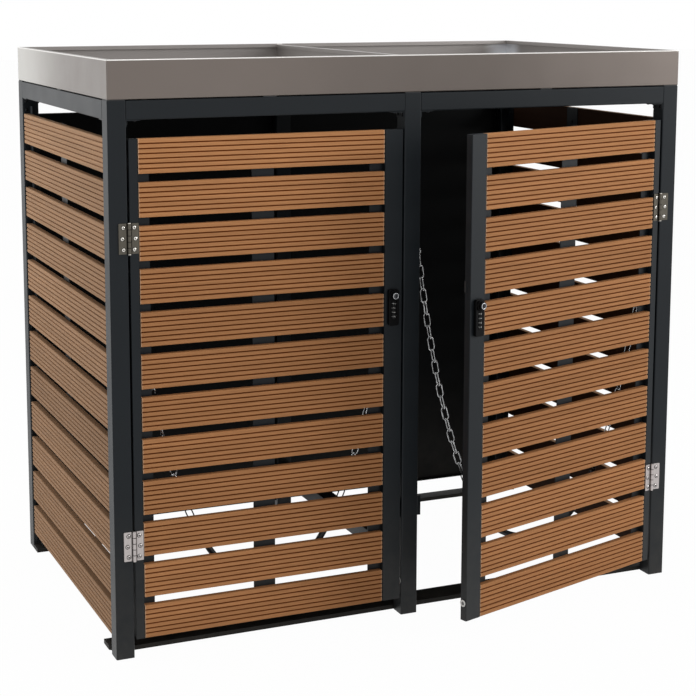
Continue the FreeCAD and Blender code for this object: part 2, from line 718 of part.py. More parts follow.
def hinge_pin(middle):
    low = V(HINGE_X, HINGE_Y, middle - HINGE_LENGTH / 2)
    high = V(HINGE_X, HINGE_Y, middle + HINGE_LENGTH / 2)
    lift = V(0, 0, PIN_HEAD)
    parts = [rod(PIN_RADIUS, low, high), rod(PIN_HEAD_RADIUS, low - lift, low),
             rod(PIN_HEAD_RADIUS, high, high + lift)]
    return join(parts)


# Doors, drawn for the left door in its closed place

def stile(edge, inward, face, flange, screws):
    """Folded stile: edge, face, web, the flange behind the slats and a closed top."""
    x = [edge, edge + inward * SHEET, edge + inward * (face - SHEET), edge + inward * face]
    tip = edge + inward * (face + flange)
    points = [(x[0], FRONT), (x[3], FRONT), (x[3], STRAP_FRONT), (tip, STRAP_FRONT),
              (tip, STRAP_BACK), (x[2], STRAP_BACK), (x[2], FRONT + SHEET),
              (x[1], FRONT + SHEET), (x[1], EDGE_BACK), (x[0], EDGE_BACK)]
    low, high = sorted((x[0], x[3]))
    cap = block(low, high, FRONT, STRAP_BACK, SLATS_TOP - SHEET, SLATS_TOP)
    body = join([prism(points, "z", GROUND_GAP, SLATS_TOP), cap])
    corner = [e for e in edges_along(body, V(0, 0, 1))
              if abs(e.CenterOfMass.x - edge) < 0.01 and abs(e.CenterOfMass.y - FRONT) < 0.01]
    return drill(body.makeFillet(STILE_RADIUS, corner), screws)


def door_strap_xs():
    """Where the slat screws stand: on both flanges and on the middle strap."""
    return [SLATS_OUT + HINGE_FLANGE / 2, (SLATS_OUT + SLATS_IN) / 2, SLATS_IN - LOCK_FLANGE / 2]


def slat_screw_places():
    return [(V(x, STRAP_BACK, z), V(0, 1, 0)) for z in slat_middles() for x in door_strap_xs()]


def door_hinge_screws():
    return [place for z in HINGE_HEIGHTS for place in hinge_screw_places(z, 1)]


def post_hinge_screws():
    return [place for z in HINGE_HEIGHTS for place in hinge_screw_places(z, -1)]


def middle_strap():
    middle = (SLATS_OUT + SLATS_IN) / 2
    strap = block(middle - STRAP_WIDTH / 2, middle + STRAP_WIDTH / 2, STRAP_FRONT, STRAP_BACK,
                  GROUND_GAP, SLATS_TOP)
    return drill(strap, slat_screw_places())


def lock_stile():
    body = stile(DOOR_IN, -1, LOCK_FACE, LOCK_FLANGE, slat_screw_places())
    y = (FRONT + EDGE_BACK) / 2
    hole = rod(BARREL_RADIUS + BARREL_FIT, V(LOCK_X, FRONT - 1, LOCK_Z),
               V(LOCK_X, FRONT + SHEET + 1, LOCK_Z))
    stem = rod(BUFFER_STEM + HOLE_FIT, V(DOOR_IN - SHEET - 1, y, BUFFER_Z),
               V(DOOR_IN + 1, y, BUFFER_Z))
    return body.cut(hole).cut(stem)


def door_buffers():
    """A round buffer low on the lock edge and a block beside the lock."""
    y = (FRONT + EDGE_BACK) / 2
    face = DOOR_IN + BUFFER_OUT
    inner = DOOR_IN - SHEET
    disc = rod(BUFFER_RADIUS, V(DOOR_IN, y, BUFFER_Z), V(face, y, BUFFER_Z))
    rim = [e for e in disc.Edges if abs(e.BoundBox.XMin - face) < 0.01 and e.BoundBox.XLength < 0.01]
    disc = disc.makeFillet(STILE_RADIUS, rim)
    stem = rod(BUFFER_STEM, V(inner - SHEET, y, BUFFER_Z), V(face - SHEET, y, BUFFER_Z))
    head = rod(BUFFER_RING, V(inner - SHEET, y, BUFFER_Z), V(inner, y, BUFFER_Z))
    block_shape = block(DOOR_IN, face, EDGE_BACK - BLOCK_DEPTH, EDGE_BACK,
                        BLOCK_Z, BLOCK_Z + BLOCK_HEIGHT)
    return [join([disc, stem, head]), block_shape]


# Combination lock on the left door

def dial_z(k):
    return LOCK_Z - DIAL_FIRST_DROP - k * DIAL_PITCH


def lock_case():
    """Case with its dial window, the dials' shaft and the barrel through the stile."""
    half = CASE_WIDTH / 2
    case = block(LOCK_X - half, LOCK_X + half, CASE_FRONT, FRONT, CASE_TOP - CASE_HEIGHT, CASE_TOP)
    case = case.makeFillet(CASE_CORNER, edges_along(case, V(0, 1, 0)))
    front_edges = [e for e in case.Edges
                   if abs(e.BoundBox.YMin - CASE_FRONT) < 0.01 and e.BoundBox.YLength < 0.01]
    case = case.makeFillet(CASE_EDGE, front_edges)
    side = DIAL_CORNER + WINDOW_SIDE_GAP
    window_top = dial_z(0) + DIAL_PITCH / 2 + DIAL_FIT
    window_foot = dial_z(DIAL_COUNT - 1) - DIAL_PITCH / 2 - DIAL_FIT
    window = block(LOCK_X - side, LOCK_X + side, CASE_FRONT - 1, FRONT + 1, window_foot, window_top)
    shaft = rod(DIAL_SHAFT_RADIUS, V(LOCK_X, DIAL_Y, window_foot - 1), V(LOCK_X, DIAL_Y, window_top + 1))
    barrel = rod(BARREL_RADIUS, V(LOCK_X, FRONT - 1, LOCK_Z), V(LOCK_X, FRONT + BARREL_LENGTH, LOCK_Z))
    bore = rod(SPINDLE_RADIUS + SPINDLE_FIT, V(LOCK_X, CASE_FRONT - 1, LOCK_Z),
               V(LOCK_X, FRONT + BARREL_LENGTH + 1, LOCK_Z))
    return join([case.cut(window), shaft, barrel]).cut(bore)


def lock_nut():
    nut = hexagon(NUT_ACROSS, "y", (LOCK_X, LOCK_Z), FRONT + SHEET, FRONT + SHEET + NUT_THICK)
    return nut.cut(rod(BARREL_RADIUS + HOLE_FIT, V(LOCK_X, FRONT, LOCK_Z),
                       V(LOCK_X, FRONT + SHEET + NUT_THICK + 1, LOCK_Z)))


def dial(k):
    """A wheel with one flat face for each figure, one of them looking forwards."""
    z = dial_z(k)
    step = 2 * math.pi / DIAL_FACES
    turns = [(n + 0.5) * step - math.pi / 2 for n in range(DIAL_FACES)]
    points = [(LOCK_X + DIAL_CORNER * math.cos(t), DIAL_Y + DIAL_CORNER * math.sin(t)) for t in turns]
    wheel = prism(points, "z", z - DIAL_HEIGHT / 2, z + DIAL_HEIGHT / 2)
    bore = rod(DIAL_SHAFT_RADIUS + DIAL_FIT, V(LOCK_X, DIAL_Y, z - DIAL_HEIGHT),
               V(LOCK_X, DIAL_Y, z + DIAL_HEIGHT))
    return wheel.cut(bore)


def knob_front():
    return CASE_FRONT - KNOB_GAP - KNOB_BASE - KNOB_GRIP


def lock_knob():
    """Turning knob with its spindle, squared at the end for the cam."""
    def at(y):
        return V(LOCK_X, y, LOCK_Z)
    base_back = CASE_FRONT - KNOB_GAP
    base_front = base_back - KNOB_BASE
    front = knob_front()
    base = rod(KNOB_RADIUS, at(base_back), at(base_front))
    base = base.makeFillet(CASE_EDGE, [e for e in base.Edges
                                       if abs(e.BoundBox.YMax - base_front) < 0.01])
    grip = rod(KNOB_GRIP_RADIUS, at(base_front), at(front))
    for k in range(KNOB_FLUTES):
        turn = 2 * math.pi * k / KNOB_FLUTES
        off = V(math.cos(turn), 0, math.sin(turn)) * (KNOB_GRIP_RADIUS + KNOB_FLUTE_RADIUS / 2)
        grip = grip.cut(rod(KNOB_FLUTE_RADIUS, at(base_front) + off, at(front - 1) + off))
    spindle = rod(SPINDLE_RADIUS, at(base_back - 1), at(CAM_FRONT - KNOB_GAP))
    half = CAM_SQUARE / 2
    square = block(LOCK_X - half, LOCK_X + half, CAM_FRONT - 1, CAM_BACK, LOCK_Z - half, LOCK_Z + half)
    thread = rod(THREAD_RADIUS, at(CAM_BACK - 1), at(CAM_BACK + CAM_NUT_THICK))
    body = join([base, grip, spindle, square, thread])
    return body.cut(rod(KEY_RADIUS + SPINDLE_FIT, at(front - 1), at(front - KEY_PROUD + KEY_DEPTH)))


def key_barrel():
    face = knob_front() - KEY_PROUD
    barrel = rod(KEY_RADIUS, V(LOCK_X, face, LOCK_Z), V(LOCK_X, face + KEY_DEPTH, LOCK_Z))
    keyway = block(LOCK_X - KEYWAY_WIDTH / 2, LOCK_X + KEYWAY_WIDTH / 2, face - 1, face + KEYWAY_DEPTH,
                   LOCK_Z - KEYWAY_HEIGHT / 2, LOCK_Z + KEYWAY_HEIGHT / 2)
    return barrel.cut(keyway)


def lock_cam():
    """The cam plate, pointing up while unlocked, and the nut that holds it."""
    half = CAM_WIDTH / 2
    tip = LOCK_Z + CAM_REACH - half
    plate = block(LOCK_X - half, LOCK_X + half, CAM_FRONT, CAM_BACK, LOCK_Z, tip)
    heel = rod(half, V(LOCK_X, CAM_FRONT, LOCK_Z), V(LOCK_X, CAM_BACK, LOCK_Z))
    end = rod(half, V(LOCK_X, CAM_FRONT, tip), V(LOCK_X, CAM_BACK, tip))
    eye = CAM_SQUARE / 2 + CAM_SQUARE_FIT
    hole = block(LOCK_X - eye, LOCK_X + eye, CAM_FRONT - 1, CAM_BACK + 1, LOCK_Z - eye, LOCK_Z + eye)
    nut = hexagon(CAM_NUT_ACROSS, "y", (LOCK_X, LOCK_Z), CAM_BACK, CAM_BACK + CAM_NUT_THICK)
    thread = rod(THREAD_RADIUS + HOLE_FIT, V(LOCK_X, CAM_FRONT, LOCK_Z),
                 V(LOCK_X, CAM_BACK + CAM_NUT_THICK + 1, LOCK_Z))
    return [join([plate, heel, end]).cut(hole), nut.cut(thread)]


def cam_slot():
    """The slot in the centre post's left wall that the cam turns into."""
    gap = -BAY_IN - LOCK_X
    rise = math.sqrt(CAM_REACH ** 2 - gap ** 2)
    return block(-BAY_IN - 1, -BAY_IN + TUBE_WALL + 1, CAM_FRONT - CAM_SLOT_GAP, CAM_BACK + CAM_SLOT_GAP,
                 LOCK_Z - CAM_WIDTH / 2 - CAM_SLOT_END, LOCK_Z + rise + CAM_SLOT_END)


# Chain loops, drawn about the middle of a bay at X = 0

def catenary_width(size):
    """How far out the loop hangs from its eyes, for one parameter of the catenary."""
    steepest = (CHAIN_HIGH_Z - CHAIN_LOW_Z - BOW_RISE) / size + math.hypot(1, BOW_LEAN)
    return BOW_WIDTH + size * (math.acosh(steepest) - math.asinh(BOW_LEAN))


def catenary_size():
    """The catenary's parameter for the loop's half span, by halving."""
    low, high = HALF_SPAN / 20, HALF_SPAN * 20
    for _ in range(80):
        size = (low + high) / 2
        if catenary_width(size) < HALF_SPAN:
            low = size
        else:
            high = size
    return size


BOW_LEAN = math.tan(BOW_TURN)
BOW_WIDTH = BOW_RADIUS * math.sin(BOW_TURN)
BOW_RISE = BOW_RADIUS * (1 - math.cos(BOW_TURN))
BOW_RUN = BOW_RADIUS * BOW_TURN
CATENARY = catenary_size()


def on_chain(run):
    """Point and direction on the hanging line, by its length from the lowest point."""
    beyond = abs(run) - BOW_RUN
    if beyond < 0:
        turn = run / BOW_RADIUS
        x = BOW_RADIUS * math.sin(turn)
        z = CHAIN_LOW_Z + BOW_RADIUS * (1 - math.cos(turn))
        return V(x, CHAIN_Y, z), V(math.cos(turn), 0, math.sin(turn))
    lean = BOW_LEAN + beyond / CATENARY
    x = BOW_WIDTH + CATENARY * (math.asinh(lean) - math.asinh(BOW_LEAN))
    rise = BOW_RISE + CATENARY * (math.hypot(1, lean) - math.hypot(1, BOW_LEAN))
    way = math.copysign(1, run)
    return V(way * x, CHAIN_Y, CHAIN_LOW_Z + rise), V(1, 0, way * lean).normalize()


def chain_link(inner_length):
    """One oval link along X, lying in the XY plane."""
    bend = LINK_WIDTH / 2 - LINK_WIRE
    half = inner_length / 2 + LINK_WIRE - bend
    pieces = []
    for side in (-1, 1):
        pieces.append(rod(LINK_WIRE, V(-half, side * bend, 0), V(half, side * bend, 0)))
        end = Part.makeTorus(bend, LINK_WIRE, V(0, 0, 0), V(0, 0, 1), -180, 180, 180)
        end.rotate(V(0, 0, 0), V(0, 0, 1), -90 * side)
        end.translate(V(side * half, 0, 0))
        pieces.append(end)
    return join(pieces)


def chain_pitch():
    """Distance from link to link, for a loop that ends in the two eye bolts."""
    steepest = math.asinh(BOW_LEAN) + (HALF_SPAN - BOW_WIDTH) / CATENARY
    half_run = BOW_RUN + CATENARY * (math.sinh(steepest) - BOW_LEAN)
    return (2 * half_run + 2 * (EYE_WIRE + EYE_SLACK) - LINK_SLACK) / LINK_COUNT


PITCH = chain_pitch()
FIRST_LINK = (CORD_LINKS + 1) // 2          # counted from the lowest point
CORD_EYE_RUN = (FIRST_LINK - 0.5) * PITCH + CORD_EYE_WIRE - CORD_EYE_RADIUS
CORD_HALF_LENGTH = CORD_EYE_RUN - CORD_EYE_RADIUS - CORD_EYE_WIRE - CORD_EYE_NECK


def chain_links():
    """The links at both ends of the cord, turned a quarter each time."""
    link = chain_link(PITCH + LINK_SLACK)
    links = []
    for k in range(FIRST_LINK, (LINK_COUNT + 1) // 2):
        for side in (-1, 1):
            point, along = on_chain(side * k * PITCH)
            lean = -math.degrees(math.atan2(along.z, along.x))
            quarter = FreeCAD.Rotation(V(1, 0, 0), 90 * (k % 2))
            copy = link.copy()
            copy.Placement = FreeCAD.Placement(point, FreeCAD.Rotation(V(0, 1, 0), lean) * quarter)
            links.append(copy)
    return links


def cord_stem(side, radius):
    """The straight stem of the eye at one end of the cord."""
    point, along = on_chain(side * CORD_EYE_RUN)
    outward = along * side
    start = point - outward * CORD_EYE_RADIUS
    return rod(radius, start - outward * (CORD_EYE_WIRE + CORD_EYE_NECK + CORD_STEM), start)


def cord_eye(side):
    point, along = on_chain(side * CORD_EYE_RUN)
    ring = Part.makeTorus(CORD_EYE_RADIUS, CORD_EYE_WIRE, point, along.cross(V(0, 1, 0)))
    return ring.fuse(cord_stem(side, CORD_STEM_RADIUS)).removeSplitter()


def arc_from(start, tangent, end):
    """The arc that leaves start along the tangent and reaches end."""
    chord = end - start
    along = V(chord).normalize()
    side = tangent - along * tangent.dot(along)
    rise = chord.Length / 2 * math.tan(tangent.getAngle(chord) / 2)
    return Part.Arc(start, start + chord * 0.5 + side.normalize() * rise, end).toShape()


def tangent_arcs(stations):
    """Two tangent arcs between each pair of neighbouring stations on the line."""
    edges = []
    for (p0, t0), (p1, t1) in zip(stations, stations[1:]):
        across = p1 - p0
        turn = 2 * (1 - t0.dot(t1))
        dot = across.dot(t0 + t1)
        reach = (-dot + math.sqrt(dot * dot + turn * across.dot(across))) / turn
        joint = (p0 + p1 + (t0 - t1) * reach) * 0.5
        middle = (p1 - t1 * reach - p0 - t0 * reach).normalize()
        edges.append(arc_from(p0, t0, joint))
        edges.append(arc_from(joint, middle, p1))
    return edges


def chain_cord():
    """The rubber cord at the bottom of the loop, with a bore at each end for its eye."""
    step = 2 * CORD_HALF_LENGTH / CORD_ARCS
    stations = [on_chain(-CORD_HALF_LENGTH + k * step) for k in range(CORD_ARCS + 1)]
    start, along = stations[0]
    circle = Part.Wire(Part.Circle(start, along, CORD_RADIUS).toShape())
    cord = Part.Wire(tangent_arcs(stations)).makePipeShell([circle], True, False)
    for side in (-1, 1):
        cord = cord.cut(cord_stem(side, CORD_STEM_RADIUS + HOLE_FIT))
    return cord


def eye_bolt(side):
    """Eye on the inner face of a post; side is the way from the bay's middle."""
    x = side * HALF_SPAN
    face = side * (HALF_SPAN + EYE_REACH)
    z = CHAIN_HIGH_Z + EYE_RADIUS
    eye = Part.makeTorus(EYE_RADIUS, EYE_WIRE, V(x, CHAIN_Y, z), V(0, 1, 0))
    collar = rod(EYE_COLLAR_RADIUS, V(face, CHAIN_Y, z), V(face - side * EYE_COLLAR, CHAIN_Y, z))
    shank = rod(BOLT_SHANK, V(x + side * EYE_RADIUS, CHAIN_Y, z),
                V(face + side * BOLT_LENGTH, CHAIN_Y, z))
    return join([eye, collar, shank])


def eye_holes():
    """Holes for the four eye bolts, through the posts' inner walls."""
    z = CHAIN_HIGH_Z + EYE_RADIUS
    holes = []
    for middle in (-BAY_MIDDLE, BAY_MIDDLE):
        for side in (-1, 1):
            face = middle + side * (HALF_SPAN + EYE_REACH)
            holes.append(rod(BOLT_SHANK + HOLE_FIT, V(face - side, CHAIN_Y, z),
                             V(face + side * (TUBE_WALL + 1), CHAIN_Y, z)))
    return Part.makeCompound(holes)


# The whole store

def both(places):
    """Places on the left side and their mirror images on the right."""
    right = [(V(-p.x, p.y, p.z), V(-d.x, d.y, d.z)) for p, d in places]
    return places + right


def drilled_post(x, y, screws, bolts):
    body = drill(post(x, y), bolts, BOLT_SHANK, BOLT_LENGTH)
    body = drill(body, screws)
    body = body.cut(eye_holes())
    if abs(x) < 1 and y < DEPTH / 2:
        body = body.cut(cam_slot()).cut(mirrored(cam_slot()))
    return body


def frame_nodes():
    corner_x = HALF_WIDTH - POST / 2
    bolts = frame_bolt_places()
    screws = both(side_screws() + pan_screws() + post_hinge_screws() + stop_screw())
    nodes = {}
    for name, x in (("left", -corner_x), ("centre", 0), ("right", corner_x)):
        nodes["front_%s_post" % name] = [drilled_post(x, 0, screws, bolts)]
        nodes["rear_%s_post" % name] = [drilled_post(x, REAR_POST_Y, screws, bolts)]
    nodes["top_rails"] = [drill(rail, bolts, BOLT_SHANK, BOLT_LENGTH) for rail in top_rails()]
    nodes["centre_low_rail"] = [drill(low_rail(), bolts, BOLT_SHANK, BOLT_LENGTH)]
    stops = [door_stop(), mirrored(door_stop())]
    nodes["cleats_and_stops"] = [cleat(*place) for place in cleat_places()] + stops
    nodes["frame_fasteners"] = fasten(BOLT, bolts) + fasten(SCREW, screws)
    posts = [(x, y) for x in (-corner_x, 0, corner_x) for y in (0, REAR_POST_Y)]
    nodes["plugs_and_pads"] = [plug(*p) for p in posts] + [top_plug(*p) for p in posts] + pads()
    nodes["front_sill"] = [sill(FRONT_POST_BACK, FRONT_POST_BACK + FRONT_SILL_DEPTH, SILL_CHAMFER)]
    nodes["rear_sill"] = [sill(REAR_POST_FRONT - REAR_SILL_DEPTH, REAR_POST_FRONT, 0)]
    slats = [drill(slat, side_screws()) for slat in side_slats()]
    straps = [drill(strap, side_screws()) for strap in side_straps()]
    for side, turned in (("left", False), ("right", True)):
        flip = mirrored if turned else (lambda shape: shape)
        nodes["%s_side_slats" % side] = [flip(slat) for slat in slats]
        nodes["%s_side_straps" % side] = [flip(strap) for strap in straps]
        nodes["rear_panel_%s" % side] = [flip(rear_pan())]
        nodes["%s_planter_tray" % side] = [flip(planter_tray())]
    nodes["planter_fascia"] = [planter_fascia()]
    nodes["planter_divider"] = [planter_divider()]
    leaves = [hinge_leaf(z, -1) for z in HINGE_HEIGHTS]
    nodes["hinge_frame_leaves"] = leaves + [mirrored(leaf) for leaf in leaves]
    pins = [hinge_pin(z) for z in HINGE_HEIGHTS]
    nodes["hinge_pins"] = pins + [mirrored(pin) for pin in pins]
    eyes = []
    for middle in (-BAY_MIDDLE, BAY_MIDDLE):
        for side in (-1, 1):
            eye = eye_bolt(side)
            eye.translate(V(middle, 0, 0))
            eyes.append(eye)
    nodes["chain_eye_bolts"] = eyes
    return nodes


def door_nodes():
    """The left door's pieces in its closed place, by their names without the side."""
    hinge_screws = door_hinge_screws()
    slat_screws = slat_screw_places()
    nodes = {
        "hinge_stile": [stile(DOOR_OUT, 1, HINGE_FACE, HINGE_FLANGE, slat_screws + hinge_screws)],
        "lock_stile": [lock_stile()],
        "middle_strap": [middle_strap()],
        "door_slats": [drill(slat, slat_screws) for slat in door_slats()],
        "door_fixings": fasten(SCREW, slat_screws + hinge_screws) + [lock_nut()],
        "hinge_leaves": [hinge_leaf(z, 1) for z in HINGE_HEIGHTS],
        "door_buffers": door_buffers(),
        "lock_case": [lock_case()],
        "lock_knob": [lock_knob()],
        "key_barrel": [key_barrel()],
        "lock_cam": lock_cam(),
    }
    for k in range(DIAL_COUNT):
        nodes["code_dial_%d" % (k + 1)] = [dial(k)]
    return nodes


def set_ajar(shape):
    """The right door's shape turned about its hinge pins to its place at rest."""
    turned = shape.copy()
    turned.rotate(V(-HINGE_X, HINGE_Y, 0), V(0, 0, 1), AJAR_ANGLE)
    return turned


def build():
    nodes = frame_nodes()
    for name, shapes in door_nodes().items():
        nodes["left_" + name] = shapes
        nodes["right_" + name] = [set_ajar(mirrored(shape)) for shape in shapes]
    for side, middle in (("left", -BAY_MIDDLE), ("right", BAY_MIDDLE)):
        links = chain_links() + [cord_eye(-1), cord_eye(1)]
        for name, shapes in (("chain_links", links), ("chain_cord", [chain_cord()])):
            placed = [shape.copy() for shape in shapes]
            for shape in placed:
                shape.translate(V(middle, 0, 0))
            nodes["%s_%s" % (side, name)] = placed
    return nodes


for node, shapes in build().items():
    solids = [solid for shape in shapes for solid in shape.Solids]
    whole = solids[0] if len(solids) == 1 else Part.makeCompound(solids)
    if not whole.isValid():
        print("not valid:", node)
    whole.exportStep("parts/%s.step" % node)
print("frame top %.1f, slats top %.1f, lock at x %.1f" % (FRAME_TOP, SLATS_TOP, LOCK_X))
print("chain pitch %.2f, catenary %.1f, cord %.0f" % (PITCH, CATENARY, 2 * CORD_HALF_LENGTH))
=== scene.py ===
# %% [markdown]
# A store for two wheelie bins, dressed for its picture.
#
# The real thing is a frame of square steel tube, powder coated in a dark grey. Ribbed boards
# of wood and plastic close its sides and its two doors, a black steel sheet closes the rear,
# and a shallow steel planter is the roof. The right door stands ajar, so the picture also
# shows the dark bay behind it and the chain loop that holds a bin's lid.
#
# The solid pieces come from the CAD model and already lie in their right places. This lesson
# gives each of them a finish, and makes again the few pieces whose small forms the model
# leaves plain.

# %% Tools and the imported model
import json
import math

import bpy
import numpy as np
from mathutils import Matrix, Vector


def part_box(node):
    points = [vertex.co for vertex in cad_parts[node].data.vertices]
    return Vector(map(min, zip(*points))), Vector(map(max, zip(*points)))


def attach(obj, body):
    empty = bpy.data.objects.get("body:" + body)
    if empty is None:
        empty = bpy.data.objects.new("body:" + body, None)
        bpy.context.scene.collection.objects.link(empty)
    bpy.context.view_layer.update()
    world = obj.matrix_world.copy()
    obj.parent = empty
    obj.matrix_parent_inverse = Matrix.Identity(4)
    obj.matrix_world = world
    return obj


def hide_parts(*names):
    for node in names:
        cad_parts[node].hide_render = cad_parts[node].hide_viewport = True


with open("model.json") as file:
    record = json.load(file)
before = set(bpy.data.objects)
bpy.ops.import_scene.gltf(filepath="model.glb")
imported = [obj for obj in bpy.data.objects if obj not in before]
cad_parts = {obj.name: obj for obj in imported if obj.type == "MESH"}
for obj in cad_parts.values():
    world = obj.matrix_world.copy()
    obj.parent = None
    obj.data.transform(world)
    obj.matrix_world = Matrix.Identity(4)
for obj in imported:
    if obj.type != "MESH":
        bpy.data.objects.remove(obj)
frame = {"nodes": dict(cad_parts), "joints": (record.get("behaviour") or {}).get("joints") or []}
nodes = frame["nodes"]
joints = {joint["name"]: joint for joint in frame["joints"]}
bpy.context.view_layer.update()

# %% [markdown]
# The camera is made first, because everything after it is judged through it. The photograph
# was taken from the left of the store and a little above it, with a long lens from almost
# four metres away. Its picture is cut from the lower part of a wider one, which keeps upright
# edges nearly parallel. A lens shift does the same, and a small one is enough.

# %% Camera
CAMERA_PLACE = (-1.579, -3.233, 1.413)
CAMERA_AIM = (-0.068, 0.385, 0.837)
CAMERA_LENS = 84.5
CAMERA_SHIFT = (0.05, -0.17)


def aim(thing, target):
    """Turn an object so that its local -Z looks at the target and its Y stays upright."""
    way = np.array(target) - np.array(thing.location)
    thing.rotation_euler = Vector(way).to_track_quat("-Z", "Y").to_euler()


camera = bpy.data.objects.new("camera", bpy.data.cameras.new("camera"))
bpy.context.scene.collection.objects.link(camera)
bpy.context.scene.camera = camera
camera.location = CAMERA_PLACE
camera.data.lens = CAMERA_LENS
camera.data.shift_x, camera.data.shift_y = CAMERA_SHIFT
aim(camera, CAMERA_AIM)
print("the camera stands", round(math.dist(CAMERA_PLACE, CAMERA_AIM), 2), "m from its aim")

# %% [markdown]
# Colours are easiest to choose as they look on a screen, from 0 to 255, but Blender computes
# with linear light. One small function turns the first into the second. It is the usual curve
# of a screen: a straight piece near black and a power of 2.4 above it.

# %% Screen colours
def screen(red, green, blue):
    """The linear colour, with full alpha, of a colour as a screen shows it."""
    shares = np.array([red, green, blue]) / 255
    linear = np.where(shares <= 0.04045, shares / 12.92, ((shares + 0.055) / 1.055) ** 2.4)
    return (*(float(v) for v in linear), 1.0)


# %% [markdown]
# Every finish below is a small graph of shader nodes. Writing each link by hand hides what a
# finish does, so a helper class keeps the graph and adds one node at a time. All patterns
# start from object coordinates. They are in metres, so a noise with a scale of 700 has grains
# of about a millimetre and a half.

# %% A finish as a graph
class Finish:
    """A material with one Principled shader and short calls for the nodes that feed it."""

    def __init__(self, name, base, roughness, metallic=0.0):
        self.material = bpy.data.materials.new(name)
        self.material.use_nodes = True
        self.tree = self.material.node_tree
        self.shader = self.tree.nodes["Principled BSDF"]
        self.shader.inputs["Base Color"].default_value = base
        self.shader.inputs["Roughness"].default_value = roughness
        self.shader.inputs["Metallic"].default_value = metallic
        self.place = self.add("ShaderNodeTexCoord").outputs["Object"]

    def put(self, socket, value):
        """Links another node's output to the socket, or sets the socket to a number or colour."""
        if isinstance(value, bpy.types.NodeSocket):
            self.tree.links.new(value, socket)
        else:
            socket.default_value = value

    def add(self, kind, **inputs):
        node = self.tree.nodes.new(kind)
        for name, value in inputs.items():
            self.put(node.inputs[name], value)
        return node

    def feed(self, name, output):
        self.tree.links.new(output, self.shader.inputs[name])

    def turned(self, angle, scale):
        """Object coordinates turned back about Z and stretched, for a pattern with a grain."""
        turned = self.add("ShaderNodeMapping", Vector=self.place, Rotation=(0, 0, -angle))
        return self.add("ShaderNodeMapping", Vector=turned.outputs[0], Scale=scale).outputs[0]

    def noise(self, scale, detail=2.0, rough=0.5, place=None):
        node = self.add("ShaderNodeTexNoise", Vector=place or self.place, Scale=scale,
                        Detail=detail, Roughness=rough)
        return node.outputs["Fac"]

    def ramp(self, value, low, high, out_low=0.0, out_high=1.0, soft=False):
        """The value between low and high, carried to the range between the two outputs."""
        node = self.add("ShaderNodeMapRange", Value=value)
        node.interpolation_type = "SMOOTHSTEP" if soft else "LINEAR"
        node.inputs["From Min"].default_value = low
        node.inputs["From Max"].default_value = high
        node.inputs["To Min"].default_value = out_low
        node.inputs["To Max"].default_value = out_high
        return node.outputs["Result"]

    def maths(self, operation, first, second=0.0):
        node = self.add("ShaderNodeMath")
        node.operation = operation
        self.put(node.inputs[0], first)
        self.put(node.inputs[1], second)
        return node.outputs[0]

    def gap(self, first, second):
        """How far two values lie apart."""
        return self.maths("ABSOLUTE", self.maths("SUBTRACT", first, second))

    def mix(self, share, first, second):
        """One colour at share 0, the other at share 1."""
        node = self.add("ShaderNodeMix")
        node.data_type = "RGBA"
        for key, value in (("Factor_Float", share), ("A_Color", first), ("B_Color", second)):
            self.put(next(s for s in node.inputs if s.identifier == key), value)
        return next(s for s in node.outputs if s.identifier == "Result_Color")

    def brightened(self, colour, value):
        """The colour times a brightness that changes over the surface."""
        node = self.add("ShaderNodeHueSaturation", Color=colour, Value=value)
        return node.outputs["Color"]

    def relief(self, height, depth, strength=1.0):
        """Small unevenness; depth is the real height of the bumps in metres."""
        node = self.add("ShaderNodeBump", Height=height, Distance=depth, Strength=strength)
        self.feed("Normal", node.outputs["Normal"])

    def along(self, axis):
        """The object coordinate along X, Y or Z."""
        return self.add("ShaderNodeSeparateXYZ", Vector=self.place).outputs[axis]

    def in_plan(self, x, y, mirrored=False):
        """The distance in plan from a point, or from the nearer of it and its mirror image."""
        own_x = self.maths("ABSOLUTE", self.along("X")) if mirrored else self.along("X")
        off_x = self.maths("SUBTRACT", own_x, x)
        off_y = self.maths("SUBTRACT", self.along("Y"), y)
        squares = [self.maths("MULTIPLY", off, off) for off in (off_x, off_y)]
        return self.maths("SQRT", self.maths("ADD", *squares))

    def above_ground(self, height):
        """1 on the ground, falling to 0 at a height in metres."""
        return self.ramp(self.along("Z"), 0.0, height, 1.0, 0.0)


# %% [markdown]
# Powder coat is baked plastic dust. From a step away it is a satin colour, and from near by it
# has the soft pebbled surface of an orange. Outdoors its low parts keep a veil of dust. Three
# noises do this: a wide one for slight changes of tone, a middle one for the sheen, and a fine
# one for the pebbles.

# %% Powder coat
DUST = screen(150, 142, 130)
DUSTY_HEIGHT = 0.35
PEBBLE_DEPTH = 0.00006


def powder_coat(name, colour, roughness, mirror):
    finish = Finish(name, colour, roughness)
    finish.shader.inputs["Specular IOR Level"].default_value = mirror
    tone = finish.ramp(finish.noise(2.3, 3.0), 0.3, 0.7, 0.93, 1.07)
    toned = finish.brightened(colour, tone)
    veil = finish.maths("MULTIPLY", finish.above_ground(DUSTY_HEIGHT), finish.noise(30.0, 4.0, 0.6))
    finish.feed("Base Color", finish.mix(finish.maths("MULTIPLY", veil, 0.12), toned, DUST))
    sheen = finish.ramp(finish.noise(9.0, 3.0), 0.3, 0.7, roughness - 0.03, roughness + 0.04)
    finish.feed("Roughness", sheen)
    finish.relief(finish.noise(650.0, 2.0), PEBBLE_DEPTH, 0.6)
    return finish.material


frame_coat = powder_coat("frame coat", screen(23, 28, 32), 0.4, 0.2)
black_coat = powder_coat("rear sheet coat", screen(12, 14, 15), 0.5, 0.12)
sill_coat = powder_coat("sill coat", screen(8, 8, 9), 0.55, 0.15)
print("powder coats:", frame_coat.name, black_coat.name, sill_coat.name)

